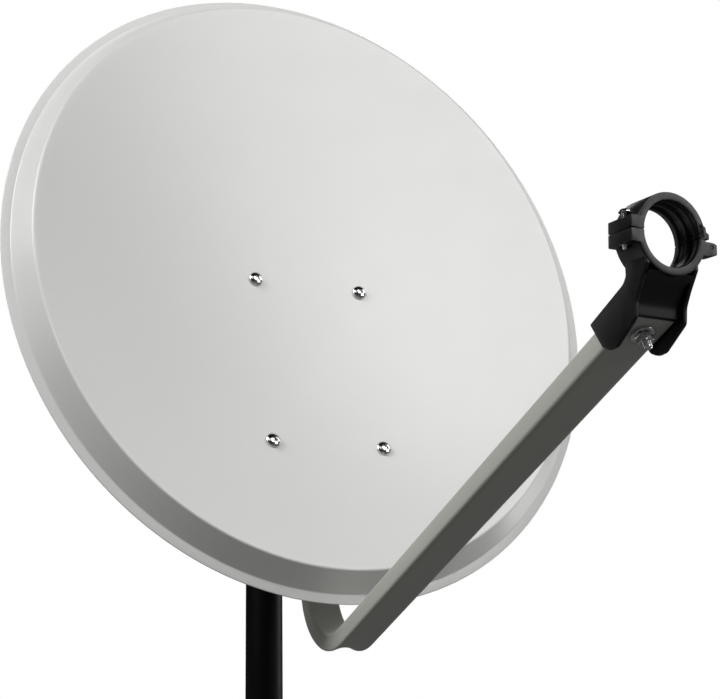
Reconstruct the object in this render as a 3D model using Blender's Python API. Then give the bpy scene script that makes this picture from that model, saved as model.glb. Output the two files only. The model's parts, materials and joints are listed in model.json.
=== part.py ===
"""An offset satellite dish on a mast, in metres and +Z up.

The origin is the middle of the mast's foot, the mast is the Z axis, and the dish looks along -Y.
Three joints: azimuth about the mast, elevation about pivot_bolt, and the feed clamp's cap about hinge_pin.
"""

import math

import bmesh
import bpy
from mathutils import Matrix, Vector

# ---- driving dimensions ---------------------------------------------------------------------------
GAP = 0.0003  # clearance between two pieces that touch

FOCAL_LENGTH = 0.402
RIM_HALF_WIDTH = 0.2985  # front edge of the rim, an ellipse
RIM_HALF_HEIGHT = 0.3322
SHEET = 0.0015  # thickness of the reflector's sheet
WALL_OUT, WALL_BACK = 0.0174, 0.0214  # the rim's slanted wall
LIP_OUT, LIP_BACK = 0.0266, 0.0221  # the outer edge of the flat lip behind it
RIM_CENTRE = Vector((0.0, -0.179, 0.520))
RIM_TILT = math.radians(10.87)  # how far the rim's normal points above the horizon

SEAT_X, SEAT_HALF_RISE, SEAT_MIDDLE = 0.060, 0.0945, -0.1003  # the four face bolts
FOOT_HEIGHT = 0.012
PLATE = 0.0025  # thickness of the bracket's sheet steel
PLATE_HALF_WIDTH, PLATE_HALF_HEIGHT, FLANGE = 0.078, 0.116, 0.014
RIVETS = [(x, y) for x in (-0.009, 0.009) for y in (-0.045, 0.055)]
RIVET_HOLE = 0.0027

MAST_RADIUS, MAST_WALL, MAST_TOP = 0.020, 0.002, 0.500
PLUG_RIM, PLUG_DEPTH = 0.003, 0.016

PIVOT = Vector((0.0, -0.103, 0.390))
LOCK_RADIUS = 0.055  # from the pivot bolt up to the lock bolt
TILT_DOWN, TILT_UP = math.radians(20.0), math.radians(12.0)
M8, M8_HOLE, M8_LOOSE = 0.004, 0.0041, 0.0042  # radii of a bolt, a bearing hole and a nut's bore
M8_FLATS, M8_HEAD, M8_NUT = 0.013, 0.0053, 0.0065  # width across flats and heights of heads and nuts
WIDE_HOLE = 0.0043  # for a bolt through the arm, its channel and its sleeves
WASHER = 0.0014
M6, M6_HOLE, M6_LOOSE = 0.0030, 0.0033, 0.0032
M6_FLATS, M6_HEAD, M6_NUT = 0.010, 0.0040, 0.0050
MAST_CHEEK = 0.0143  # inner face of the mast bracket's cheeks
TILT_CHEEK = 0.0173  # inner face of the tilt channel's cheeks
U_BOLT_HEIGHTS = (0.374, 0.438)
U_BOLT_RADIUS, ROD, U_BOLT_FRONT = 0.025, 0.004, -0.0555
WEB_FRONT, WEB_LOW, WEB_HIGH = -0.0425, 0.350, 0.462

TUBE_HALF_WIDTH, TUBE_HALF_HEIGHT, TUBE_WALL = 0.0170, 0.0082, 0.0015
ARM_CROSSING = -0.3852  # where the arm's centreline crosses the rim plane
ARM_ANGLE = math.radians(79.2)  # from the rim plane's upward direction to the arm
ARM_TIP, ARM_BACK = 0.4597, 0.0200  # straight run before and behind the rim plane
BEND_RADIUS, BEND_ANGLE = 0.0596, math.radians(109.8)
LIMB = 0.1543  # straight run after the bend
CREASE = 0.006  # how deep the bend's outer wall is folded in
HOLDER_BOLT = 0.4457  # along the arm
HOLDER_SHELF = (0.424, 0.458)  # the holder's top plate, along the arm
SHELF = 0.0033

FEED_CENTRE = Vector((0.0, -0.2640, 0.4855))
FEED_ANGLE = math.radians(17.3)
RING_OUTER, RING_BORE, RING_MOUTH, RING_LENGTH = 0.0266, 0.0206, 0.0214, 0.0235
SPLIT = 0.0003  # half the gap between the clamp's halves
CHEEK_IN, CHEEK_OUT = 0.0173, 0.0204  # the feed holder's cheeks
LUG_LEFT, LUG_RIGHT, LUG_TOP = -0.0312, -0.0213, 0.0081
SCREW_X, SCREW_Z, SCREW_RADIUS = -0.0270, -0.0115, 0.0020
SCREW_SEAT, SCREW_LENGTH = 0.0122, 0.0235  # under the screw's head
HINGE_X, HINGE_Y, PIN_RADIUS = 0.0310, -0.0045, 0.0015
KNUCKLE_GAP = (-0.0160, -0.0080)

# ---- scene and helpers ----------------------------------------------------------------------------
for leftover in list(bpy.data.objects):
    bpy.data.objects.remove(leftover)


def material(name, colour, roughness, metallic):
    made = bpy.data.materials.new(name)
    made.use_nodes = True
    shader = made.node_tree.nodes["Principled BSDF"]
    shader.inputs["Base Color"].default_value = (*colour, 1.0)
    shader.inputs["Roughness"].default_value = roughness
    shader.inputs["Metallic"].default_value = metallic
    return made


FACE_PAINT = material("light_grey_paint", (0.62, 0.62, 0.60), 0.35, 0.0)
ARM_PAINT = material("stone_grey_paint", (0.42, 0.42, 0.38), 0.40, 0.0)
BLACK_PAINT = material("black_paint", (0.02, 0.02, 0.02), 0.45, 0.0)
BLACK_PLASTIC = material("black_plastic", (0.03, 0.03, 0.032), 0.50, 0.0)
ZINC = material("zinc_plate", (0.75, 0.75, 0.76), 0.25, 1.0)
GALVANISED = material("galvanised_steel", (0.55, 0.56, 0.57), 0.45, 1.0)


def empty(name, parent, matrix):
    """A frame with this matrix under its parent."""
    made = bpy.data.objects.new(name, None)
    bpy.context.scene.collection.objects.link(made)
    made.parent = parent
    made.matrix_local = matrix
    bpy.context.view_layer.update()
    return made


def place(name, mesh, finish, parent=None, matrix=None):
    """A named piece made of this mesh, smooth apart from its edges."""
    mesh.name = name
    made = bpy.data.objects.new(name, mesh)
    bpy.context.scene.collection.objects.link(made)
    made.parent = parent
    made.matrix_local = matrix or Matrix.Identity(4)
    mesh.materials.clear()
    mesh.materials.append(finish)
    mesh.shade_smooth()
    mesh.set_sharp_from_angle(angle=math.radians(35))
    return made


def mesh_of(shape):
    """The finished mesh of a bmesh, with its faces turned outwards."""
    bmesh.ops.recalc_face_normals(shape, faces=shape.faces)
    mesh = bpy.data.meshes.new("shape")
    shape.to_mesh(mesh)
    shape.free()
    return mesh


def combine(base, added=(), cut=()):
    """The base with some shapes joined to it, and then others cut out of it."""
    holder = bpy.data.objects.new("base", base)
    bpy.context.scene.collection.objects.link(holder)
    helpers = []
    for meshes, operation in ((added, "UNION"), (cut, "DIFFERENCE")):
        for mesh in meshes:
            helper = bpy.data.objects.new("helper", mesh)
            bpy.context.scene.collection.objects.link(helper)
            helpers.append(helper)
            modifier = holder.modifiers.new(operation, "BOOLEAN")
            modifier.operation = operation
            modifier.object = helper
    graph = bpy.context.evaluated_depsgraph_get()
    graph.update()
    result = bpy.data.meshes.new_from_object(holder.evaluated_get(graph))
    for used in (*helpers, holder):
        bpy.data.objects.remove(used)
    return result


def moved(mesh, matrix):
    mesh.transform(matrix)
    return mesh


def turned(profile, segments=16, ring=False):
    """A profile of (radius, height) points turned about Z: from axis to axis, or a closed ring."""
    shape = bmesh.new()
    loops = []
    angles = [2 * math.pi * k / segments for k in range(segments)]
    for radius, height in profile:
        if radius == 0:
            loops.append([shape.verts.new((0, 0, height))] * segments)
            continue
        circle = [(radius * math.cos(angle), radius * math.sin(angle), height) for angle in angles]
        loops.append([shape.verts.new(point) for point in circle])
    pairs = list(zip(loops, loops[1:]))
    if ring:
        pairs.append((loops[-1], loops[0]))
    for first, second in pairs:
        for k in range(segments):
            after = (k + 1) % segments
            corners = dict.fromkeys((first[k], first[after], second[after], second[k]))
            if len(corners) > 2:
                shape.faces.new(list(corners))
    return mesh_of(shape)


def prism(outline, low, high, axis="Z"):
    """An outline drawn across the axis, (x, y) for Z or (y, z) for X, and extruded from low to high."""
    shape = bmesh.new()
    loops = []
    for level in (low, high):
        if axis == "Z":
            points = [(a, b, level) for a, b in outline]
        else:
            points = [(level, a, b) for a, b in outline]
        loops.append([shape.verts.new(point) for point in points])
    count = len(outline)
    shape.faces.new(loops[0])
    shape.faces.new(loops[1])
    for k in range(count):
        after = (k + 1) % count
        shape.faces.new((loops[0][k], loops[0][after], loops[1][after], loops[1][k]))
    return mesh_of(shape)


def rod(radius, start, end, segments=16):
    """A plain cylinder between two points."""
    start, end = Vector(start), Vector(end)
    along = end - start
    turn = along.to_track_quat("Z", "Y").to_matrix().to_4x4()
    body = turned([(0, 0), (radius, 0), (radius, along.length), (0, along.length)], segments)
    return moved(body, Matrix.Translation(start) @ turn)


def swept(sections, inner=()):
    """A skin through closed loops of points, solid, or hollow and open-ended if inner loops are given."""
    shape = bmesh.new()
    outside = [[shape.verts.new(point) for point in loop] for loop in sections]
    inside = [[shape.verts.new(point) for point in loop] for loop in inner]
    count = len(outside[0])
    for skin in (outside, inside):
        for first, second in zip(skin, skin[1:]):
            for k in range(count):
                after = (k + 1) % count
                shape.faces.new((first[k], first[after], second[after], second[k]))
    for end in (0, -1):
        if not inside:
            shape.faces.new(outside[end])
            continue
        for k in range(count):
            after = (k + 1) % count
            shape.faces.new((outside[end][k], outside[end][after], inside[end][after], inside[end][k]))
    return mesh_of(shape)


def arc(centre, radius, start, end, steps):
    """Points on a circle from one angle to another, in degrees."""
    angles = [math.radians(start + (end - start) * k / steps) for k in range(steps + 1)]
    return [(centre[0] + radius * math.cos(a), centre[1] + radius * math.sin(a)) for a in angles]


def rounded_box(half_width, half_height, radius, steps=3):
    """A rectangle's outline with round corners, anticlockwise from its lower right."""
    w, h = half_width - radius, half_height - radius
    outline = []
    for x, y, start in ((w, -h, -90), (w, h, 0), (-w, h, 90), (-w, -h, 180)):
        outline += arc((x, y), radius, start, start + 90, steps)
    return outline


def hexagon(across_flats, turn=0):
    return arc((0, 0), across_flats / math.sqrt(3), turn, turn + 300, 5)


def nut(across_flats, thickness, bore):
    """A hexagon nut lying on Z = 0, with flats towards +X and -X."""
    return combine(
        prism(hexagon(across_flats, 30), 0, thickness),
        cut=[rod(bore, (0, 0, -thickness), (0, 0, 2 * thickness))],
    )


def washer(radius, thickness, bore):
    return turned([(bore, 0), (radius, 0), (radius, thickness), (bore, thickness)], 16, ring=True)


def hex_bolt(across_flats, head, radius, length, segments=16):
    """A hexagon bolt: the head's underside is Z = 0 and the shank runs down."""
    shank = turned([(0, head / 2), (radius, head / 2), (radius, -length), (0, -length)], segments)
    return combine(prism(hexagon(across_flats), 0, head), added=[shank])


def m8_bolt(length, segments=16):
    return hex_bolt(M8_FLATS, M8_HEAD, M8, length, segments)


def m8_nut():
    return nut(M8_FLATS, M8_NUT, M8_LOOSE)


def facing(point, direction):
    """A frame at a point, whose Z axis is a direction."""
    return Matrix.Translation(point) @ Vector(direction).to_track_quat("Z", "Y").to_matrix().to_4x4()


# ---- the reflector's surface, in the dish frame: X right, Y up the rim plane, Z out of the face ---
CUT_ANGLE = math.acos(RIM_HALF_WIDTH / RIM_HALF_HEIGHT)
CUT_SIN, CUT_COS = math.sin(CUT_ANGLE), math.cos(CUT_ANGLE)
AXIS_OFFSET = 2 * FOCAL_LENGTH * math.tan(CUT_ANGLE)
AXIS_DEPTH = (RIM_HALF_WIDTH**2 + AXIS_OFFSET**2) / (4 * FOCAL_LENGTH)


def surface_height(x, y):
    """The paraboloid's height over the rim plane, below zero inside the rim."""
    across = AXIS_OFFSET + y * CUT_COS
    along = AXIS_DEPTH + y * CUT_SIN
    linear = 2 * across * CUT_SIN + 4 * FOCAL_LENGTH * CUT_COS
    constant = x * x + across * across - 4 * FOCAL_LENGTH * along
    return 2 * constant / (linear + math.sqrt(linear * linear - 4 * CUT_SIN**2 * constant))


def surface_normal(x, y):
    across = AXIS_OFFSET + y * CUT_COS - surface_height(x, y) * CUT_SIN
    toward = Vector((-x, -across, 2 * FOCAL_LENGTH))
    up = toward.y * CUT_COS + toward.z * CUT_SIN
    out = -toward.y * CUT_SIN + toward.z * CUT_COS
    return Vector((toward.x, up, out)).normalized()


# ---- frames ---------------------------------------------------------------------------------------
AZIMUTH_FRAME = empty("azimuth_axis", None, Matrix.Identity(4))
ELEVATION_FRAME = empty("elevation_axis", AZIMUTH_FRAME, Matrix.Translation(PIVOT))
DISH_TURN = Matrix.Rotation(math.pi / 2 - RIM_TILT, 4, "X")
DISH_FRAME = empty("dish_frame", ELEVATION_FRAME, Matrix.Translation(RIM_CENTRE - PIVOT) @ DISH_TURN)
FEED_FRAME = empty(
    "feed_frame", DISH_FRAME, Matrix.Translation(FEED_CENTRE) @ Matrix.Rotation(FEED_ANGLE, 4, "X")
)
CAP_FRAME = empty("cap_axis", FEED_FRAME, Matrix.Translation((HINGE_X, HINGE_Y, 0)))

SEAT_LOW = surface_height(SEAT_X, SEAT_MIDDLE - SEAT_HALF_RISE)
SEAT_HIGH = surface_height(SEAT_X, SEAT_MIDDLE + SEAT_HALF_RISE)
PLATE_SLOPE = math.atan2(SEAT_HIGH - SEAT_LOW, 2 * SEAT_HALF_RISE)
PLATE_CENTRE = Vector((0, SEAT_MIDDLE, (SEAT_LOW + SEAT_HIGH) / 2 - SHEET - FOOT_HEIGHT))
PLATE_FRAME = empty(
    "plate_frame", DISH_FRAME, Matrix.Translation(PLATE_CENTRE) @ Matrix.Rotation(PLATE_SLOPE, 4, "X")
)
DISH_TO_PLATE = PLATE_FRAME.matrix_local.inverted()
WORLD_TO_PLATE = PLATE_FRAME.matrix_world.inverted()


def seat_frames():
    """The four bolt seats in the dish frame, each with Z along the reflector's normal."""
    for side in (-1, 1):
        for rise in (1, -1):
            x, y = side * SEAT_X, SEAT_MIDDLE + rise * SEAT_HALF_RISE
            yield facing((x, y, surface_height(x, y)), surface_normal(x, y))


SEATS = list(seat_frames())


# ---- mast -----------------------------------------------------------------------------------------
def make_mast():
    inner = MAST_RADIUS - MAST_WALL
    wall = [(inner, PLUG_RIM), (MAST_RADIUS, PLUG_RIM), (MAST_RADIUS, MAST_TOP), (inner, MAST_TOP)]
    place("mast_tube", turned(wall, 48, ring=True), BLACK_PAINT)
    spigot = inner - GAP
    rim = PLUG_RIM - GAP
    plug = [(0, 0), (MAST_RADIUS, 0), (MAST_RADIUS, rim)]
    plug += [(spigot, rim), (spigot, PLUG_DEPTH), (0, PLUG_DEPTH)]
    place("mast_foot_plug", turned(plug, 32), BLACK_PLASTIC)
    crown = [(0, 0.0045), (0.012, 0.0040), (0.0185, 0.0028), (0.0206, 0.0012), (0.0206, GAP)]
    crown += [(spigot, GAP), (spigot, -PLUG_DEPTH), (0, -PLUG_DEPTH)]
    place("mast_top_cap", turned(crown, 32), BLACK_PLASTIC, matrix=Matrix.Translation((0, 0, MAST_TOP)))


# ---- mast bracket, which turns about the mast -----------------------------------------------------
def make_mast_bracket():
    """A web in front of the mast, a notched flange at each end of it, and two cheeks for the bolts."""
    jaw = 0.003
    web = prism(rounded_box(0.040, (WEB_HIGH - WEB_LOW) / 2, 0.006), 0, jaw)
    web = moved(web, facing((0, WEB_FRONT + jaw, (WEB_HIGH + WEB_LOW) / 2), (0, -1, 0)))
    notch = (MAST_RADIUS + GAP) * math.sqrt(2)
    flange = [(-0.036, WEB_FRONT + 0.001), (0.036, WEB_FRONT + 0.001), (0.036, -0.004)]
    flange += [(notch - 0.004, -0.004), (0, -notch), (0.004 - notch, -0.004), (-0.036, -0.004)]
    flanges = [prism(flange, WEB_LOW, WEB_LOW + jaw), prism(flange, WEB_HIGH - jaw, WEB_HIGH)]
    lock = PIVOT.z + LOCK_RADIUS
    side = [(WEB_FRONT + 0.001, WEB_HIGH - 0.008), (WEB_FRONT + 0.001, WEB_LOW + 0.008)]
    side += arc((PIVOT.y, PIVOT.z), 0.014, 270, 180, 6)
    side += arc((PIVOT.y, lock), 0.012, 180, 90, 6)
    cheek_out = MAST_CHEEK + PLATE
    cheeks = [prism(side, MAST_CHEEK, cheek_out, "X"), prism(side, -cheek_out, -MAST_CHEEK, "X")]
    holes = [rod(M8_HOLE, (-0.03, PIVOT.y, z), (0.03, PIVOT.y, z), 32) for z in (PIVOT.z, lock)]
    for z in U_BOLT_HEIGHTS:
        for x in (-U_BOLT_RADIUS, U_BOLT_RADIUS):
            holes.append(rod(ROD + GAP, (x, -0.06, z), (x, -0.03, z)))
    mesh = combine(web, added=flanges + cheeks, cut=holes)
    place("mast_bracket", mesh, GALVANISED, AZIMUTH_FRAME)


def make_u_bolt(name, height):
    """A bent rod round the back of the mast, with both threaded legs through the bracket's web."""
    centre = GAP + MAST_RADIUS - (U_BOLT_RADIUS - ROD)
    path = [(U_BOLT_RADIUS, U_BOLT_FRONT, 0, -1)]
    for k in range(13):
        back, side = math.sin(math.pi * k / 12), -math.cos(math.pi * k / 12)
        path.append((-U_BOLT_RADIUS * side, centre + U_BOLT_RADIUS * back, back, side))
    path.append((-U_BOLT_RADIUS, U_BOLT_FRONT, 0, 1))
    loops = []
    for x, y, back, side in path:
        across, upward = Vector((-side, back, 0)), Vector((0, 0, 1))
        loop = []
        for k in range(10):
            angle = 2 * math.pi * k / 10
            around = math.cos(angle) * across + math.sin(angle) * upward
            loop.append(Vector((x, y, height)) + ROD * around)
        loops.append(loop)
    place(name, swept(loops), ZINC, AZIMUTH_FRAME)


def make_mast_clamp():
    for word, height in zip(("lower", "upper"), U_BOLT_HEIGHTS):
        make_u_bolt(f"u_bolt_{word}", height)
        for hand, x in (("left", -U_BOLT_RADIUS), ("right", U_BOLT_RADIUS)):
            front = facing((x, WEB_FRONT - GAP, height), (0, -1, 0))
            disc = washer(0.0075, WASHER, M8_LOOSE)
            place(f"u_washer_{word}_{hand}", disc, ZINC, AZIMUTH_FRAME, front)
            on_washer = facing((x, WEB_FRONT - WASHER - 2 * GAP, height), (0, -1, 0))
            place(f"u_nut_{word}_{hand}", m8_nut(), ZINC, AZIMUTH_FRAME, on_washer)


# ---- elevation hardware, which stays with the mast bracket ----------------------------------------
def make_cross_bolt(name, height):
    """A bolt along X with its head at -X, a washer at each end, a nut and a sleeve between the cheeks."""
    cheek = TILT_CHEEK + PLATE
    on_washer = cheek + WASHER + 2 * GAP
    head = facing((-on_washer, PIVOT.y, height), (-1, 0, 0))
    place(f"{name}_bolt", m8_bolt(0.0535, 32), ZINC, AZIMUTH_FRAME, head)
    for hand, side in (("left", -1), ("right", 1)):
        at = facing((side * (cheek + GAP), PIVOT.y, height), (side, 0, 0))
        place(f"{name}_washer_{hand}", washer(0.008, WASHER, M8_LOOSE), ZINC, AZIMUTH_FRAME, at)
    at = facing((on_washer, PIVOT.y, height), (1, 0, 0))
    place(f"{name}_nut", m8_nut(), ZINC, AZIMUTH_FRAME, at)
    end, outer = MAST_CHEEK - GAP, 0.006
    sleeve = turned([(WIDE_HOLE, -end), (outer, -end), (outer, end), (WIDE_HOLE, end)], 20, ring=True)
    place(f"{name}_sleeve", sleeve, ZINC, AZIMUTH_FRAME, facing((0, PIVOT.y, height), (1, 0, 0)))


def make_elevation_hardware():
    make_cross_bolt("pivot", PIVOT.z)
    make_cross_bolt("lock", PIVOT.z + LOCK_RADIUS)


# ---- reflector ------------------------------------------------------------------------------------
def make_reflector():
    """A pressed sheet: the bowl, the slanted wall round it, the flat lip behind, and four bolt seats."""
    segments, rings = 64, 6
    loops = [(math.sin(k / rings * math.pi / 2), 0.0, None) for k in range(rings)]
    loops += [(1.0, 0.0, None), (1.0, 0.0010, -0.0006)]
    loops.append((1.0, WALL_OUT - 0.0012, 0.0012 - WALL_BACK))
    loops.append((1.0, WALL_OUT + 0.0010, -0.0003 - WALL_BACK))
    loops.append((1.0, LIP_OUT, -LIP_BACK))
    shape = bmesh.new()
    made = []
    for share, out, height in loops:
        if share == 0:
            made.append([shape.verts.new((0, 0, surface_height(0, 0)))] * segments)
            continue
        loop = []
        for k in range(segments):
            angle = 2 * math.pi * k / segments
            x = share * RIM_HALF_WIDTH * math.cos(angle)
            y = share * RIM_HALF_HEIGHT * math.sin(angle)
            away = Vector((RIM_HALF_HEIGHT * math.cos(angle), RIM_HALF_WIDTH * math.sin(angle)))
            away.normalize()
            z = surface_height(x, y) if height is None else height
            loop.append(shape.verts.new((x + out * away.x, y + out * away.y, z)))
        made.append(loop)
    for first, second in zip(made, made[1:]):
        for k in range(segments):
            after = (k + 1) % segments
            corners = dict.fromkeys((first[k], second[k], second[after], first[after]))
            shape.faces.new(list(corners))
    mesh = bpy.data.meshes.new("reflector_skin")
    shape.to_mesh(mesh)
    shape.free()
    skin = bpy.data.objects.new("skin", mesh)
    bpy.context.scene.collection.objects.link(skin)
    solidify = skin.modifiers.new("Sheet", "SOLIDIFY")
    solidify.thickness = SHEET
    solidify.offset = -1
    solidify.use_even_offset = True
    graph = bpy.context.evaluated_depsgraph_get()
    graph.update()
    solid = bpy.data.meshes.new_from_object(skin.evaluated_get(graph))
    bpy.data.objects.remove(skin)
    cut = []
    for seat in SEATS:
        cut.append(moved(rod(0.0036, (0, 0, -0.01), (0, 0, 0.01)), seat))
        cut.append(moved(rod(0.0083, (0, 0, -0.0004), (0, 0, 0.005), 20), seat))
    place("reflector", combine(solid, cut=cut), FACE_PAINT, DISH_FRAME)


def make_face_bolts():
    """Round-headed bolts through the reflector and the bracket's feet, each with a washer and a nut."""
    length = 0.0165
    head = [(0, 0.0046), (0.0030, 0.0043), (0.0056, 0.0033), (0.0074, 0.0017), (0.0079, GAP)]
    shank = [(M6, GAP), (M6, -length), (0, -length)]
    floor = SHEET + GAP + PLATE
    for number, seat in enumerate(SEATS, 1):
        place(f"face_bolt_{number}", turned(head + shank, 20), ZINC, DISH_FRAME, seat)
        down = seat @ Matrix.Translation((0, 0, -floor - GAP - WASHER))
        place(f"face_washer_{number}", washer(0.0062, WASHER, M6_LOOSE), ZINC, DISH_FRAME, down)
        below = down @ Matrix.Translation((0, 0, -GAP - M6_NUT))
        place(f"face_nut_{number}", nut(M6_FLATS, M6_NUT, M6_LOOSE), ZINC, DISH_FRAME, below)


# ---- back bracket and tilt channel ----------------------------------------------------------------
def make_back_bracket():
    """A pressed plate behind the reflector, with four hollow feet and a stiffening flange each side."""
    plate = prism(rounded_box(PLATE_HALF_WIDTH, PLATE_HALF_HEIGHT, 0.012), -PLATE, 0)
    behind = prism(rounded_box(0.2, 0.2, 0.01), -0.05, -PLATE)
    top = -SHEET - GAP
    added, hollows = [], []
    for seat in SEATS:
        there = DISH_TO_PLATE @ seat
        foot = turned([(0, top), (0.0115, top), (0.0150, -0.0185), (0, -0.0185)], 20)
        added.append(combine(moved(foot, there), cut=[behind.copy()]))
        floor = top - PLATE
        hollow = turned([(0, floor), (0.0088, floor), (0.0130, -0.0225), (0, -0.0225)], 20)
        hollows.append(moved(hollow, there))
        hollows.append(moved(rod(M6_HOLE, (0, 0, -0.03), (0, 0, 0.01)), there))
    inner = PLATE_HALF_WIDTH - PLATE
    reach = PLATE_HALF_HEIGHT - 0.014
    for low, high in ((inner, PLATE_HALF_WIDTH), (-PLATE_HALF_WIDTH, -inner)):
        flange = [(-reach, -FLANGE), (reach, -FLANGE), (reach, -0.001), (-reach, -0.001)]
        added.append(prism(flange, low, high, "X"))
    for x, y in RIVETS:
        hollows.append(rod(RIVET_HOLE, (x, y, -0.02), (x, y, 0.02)))
    place("back_bracket", combine(plate, added=added, cut=hollows), GALVANISED, PLATE_FRAME)


def make_rivets():
    for number, (x, y) in enumerate(RIVETS, 1):
        back = -2 * PLATE - 2 * GAP
        profile = [(0, 0.0022), (0.003, 0.0018), (0.0048, GAP), (0.0025, GAP)]
        profile += [(0.0025, back), (0.0046, back), (0.003, back - 0.0018), (0, back - 0.0022)]
        place(f"rivet_{number}", turned(profile, 12), ZINC, PLATE_FRAME, Matrix.Translation((x, y, 0)))


def arm_point(along, height=0.0):
    """A point on the straight run of the arm, in the dish frame, from where it crosses the rim plane."""
    y = ARM_CROSSING + along * math.cos(ARM_ANGLE) + height * math.sin(ARM_ANGLE)
    z = along * math.sin(ARM_ANGLE) - height * math.cos(ARM_ANGLE)
    return Vector((0, y, z))


def arm_stations():
    """(point, direction, fold) along the arm from its tip to its upper end behind the dish."""
    back = -(arm_point(1) - arm_point(0))
    up = arm_point(0, 1) - arm_point(0)
    stations = [(arm_point(ARM_TIP), back, 0.0), (arm_point(0.03), back, 0.0)]
    start = arm_point(-ARM_BACK)
    centre = start + BEND_RADIUS * up
    steps = 14
    for k in range(steps + 1):
        angle = BEND_ANGLE * k / steps
        point = centre + BEND_RADIUS * (math.sin(angle) * back - math.cos(angle) * up)
        direction = math.cos(angle) * back + math.sin(angle) * up
        stations.append((point, direction, math.sin(math.pi * k / steps) ** 0.5))
    point, along, _ = stations[-1]
    stations.append((point + LIMB * along, along, 0.0))
    return stations


def tube_loop(point, along, fold, shrink):
    """The tube's section at one station; fold pulls the outer wall in along a line left of its middle."""
    out = Vector((1, 0, 0)).cross(along)
    w, h = TUBE_HALF_WIDTH - shrink, TUBE_HALF_HEIGHT - shrink
    crease = -0.2 * w
    outline = rounded_box(w, h, 0.003 - 0.8 * shrink, 2)
    outline += [(-w * 0.55, -h), (crease, -h), (w * 0.35, -h)]
    loop = []
    for x, y in outline:
        reach = 0.85 * w + (crease if x < crease else -crease)
        pulled = CREASE * fold * max(0.0, 1 - abs(x - crease) / reach) if y < 0 else 0.0
        loop.append(point + Vector((x, 0, 0)) + (y + pulled) * out)
    return loop


def limb_holes():
    """Where the two cross bolts hold the arm's upper end, in the dish frame."""
    point, along, _ = arm_stations()[-1]
    return [point - along * back for back in (0.018, 0.060)]


def make_arm():
    stations = arm_stations()
    outer = [tube_loop(*station, 0.0) for station in stations]
    inner = [tube_loop(*station, TUBE_WALL) for station in stations]
    reach = Vector((0.03, 0, 0))
    cutters = [rod(WIDE_HOLE, point - reach, point + reach) for point in limb_holes()]
    cutters.append(rod(M6_HOLE, arm_point(HOLDER_BOLT, -0.03), arm_point(HOLDER_BOLT, 0.03)))
    place("feed_arm", combine(swept(outer, inner), cut=cutters), ARM_PAINT, DISH_FRAME)
    point, along, _ = stations[-1]
    w, h = TUBE_HALF_WIDTH, TUBE_HALF_HEIGHT
    rim = prism(rounded_box(w, h, 0.003), GAP, 0.0025)
    spigot = prism(rounded_box(w - TUBE_WALL - GAP, h - TUBE_WALL - GAP, 0.0015), -0.010, 0.001)
    right = Vector((1, 0, 0))
    turn = Matrix((right, along.cross(right), along)).transposed().to_4x4()
    at = Matrix.Translation(point) @ turn
    place("arm_end_plug", combine(rim, added=[spigot]), BLACK_PLASTIC, DISH_FRAME, at)


def make_tilt_channel():
    """Two cheeks on a base: they turn on the pivot bolt and slide along the lock bolt by their slots."""
    pivot = WORLD_TO_PLATE @ PIVOT
    up = WORLD_TO_PLATE.to_3x3() @ Vector((0, 0, 1))
    rest = math.degrees(math.atan2(up.z, up.y))
    centre = (pivot.y, pivot.z)
    front = -PLATE - GAP
    base = [(-0.085, front - PLATE), (0.075, front - PLATE), (0.075, front), (-0.085, front)]
    base = prism(base, -TILT_CHEEK - PLATE, TILT_CHEEK + PLATE, "X")
    to_front, to_back = rest + math.degrees(TILT_UP), rest - math.degrees(TILT_DOWN)
    reach = LOCK_RADIUS + 0.011
    rim = [p for p in arc(centre, reach, to_back - 10, to_front + 11, 8) if p[1] < front - 0.001]
    side = [(0.062, front), (-0.118, front), (-0.122, front - 0.004), (-0.122, -0.040), (-0.116, -0.047)]
    side += arc(centre, 0.015, 250, 300, 4)
    side += rim
    slot = arc(centre, LOCK_RADIUS + M8_LOOSE, to_back, to_front, 10)
    low_end = arc(centre, LOCK_RADIUS, to_front, to_front, 1)[0]
    slot += arc(low_end, M8_LOOSE, to_front, to_front + 180, 8)[1:-1]
    slot += arc(centre, LOCK_RADIUS - M8_LOOSE, to_front, to_back, 10)
    high_end = arc(centre, LOCK_RADIUS, to_back, to_back, 1)[0]
    slot += arc(high_end, M8_LOOSE, to_back + 180, to_back + 360, 8)[1:-1]
    cut = [prism(slot, -0.03, 0.03, "X"), rod(M8_HOLE, (-0.03, *centre), (0.03, *centre), 32)]
    for hole in limb_holes():
        there = DISH_TO_PLATE @ hole
        cut.append(rod(WIDE_HOLE, there - Vector((0.03, 0, 0)), there + Vector((0.03, 0, 0))))
    for x, y in RIVETS:
        cut.append(rod(RIVET_HOLE, (x, y, -0.02), (x, y, 0.02)))
    edges = (TILT_CHEEK, TILT_CHEEK + PLATE)
    cheeks = [prism(side, *edges, "X"), prism(side, -edges[1], -edges[0], "X")]
    place("tilt_channel", combine(base, added=cheeks, cut=cut), GALVANISED, PLATE_FRAME)
    for number, hole in enumerate(limb_holes(), 1):
        head = facing(hole - Vector((TILT_CHEEK + PLATE + GAP, 0, 0)), (-1, 0, 0))
        place(f"arm_bolt_{number}", m8_bolt(0.0495), ZINC, DISH_FRAME, head)
        at = facing(hole + Vector((TILT_CHEEK + PLATE + GAP, 0, 0)), (1, 0, 0))
        place(f"arm_nut_{number}", m8_nut(), ZINC, DISH_FRAME, at)


# ---- feed holder and its clamp, in the feed frame: Z is the clamp's axis, away from the dish ------
def feed_side(along, height):
    """A point given on the arm, as (y, z) in the feed frame."""
    point = FEED_FRAME.matrix_local.inverted() @ arm_point(along, height)
    return (point.y, point.z)


def half_ring(sign, inner, outer, low, high):
    """Half a ring above (+1) or below (-1) the clamp's split."""
    start_out = math.degrees(math.asin(SPLIT / outer))
    start_in = math.degrees(math.asin(SPLIT / inner))
    outline = arc((0, 0), outer, start_out, 180 - start_out, 24)
    outline += arc((0, 0), inner, 180 - start_in, start_in, 24)
    return prism([(x, sign * y) for x, y in outline], low, high)


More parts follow.
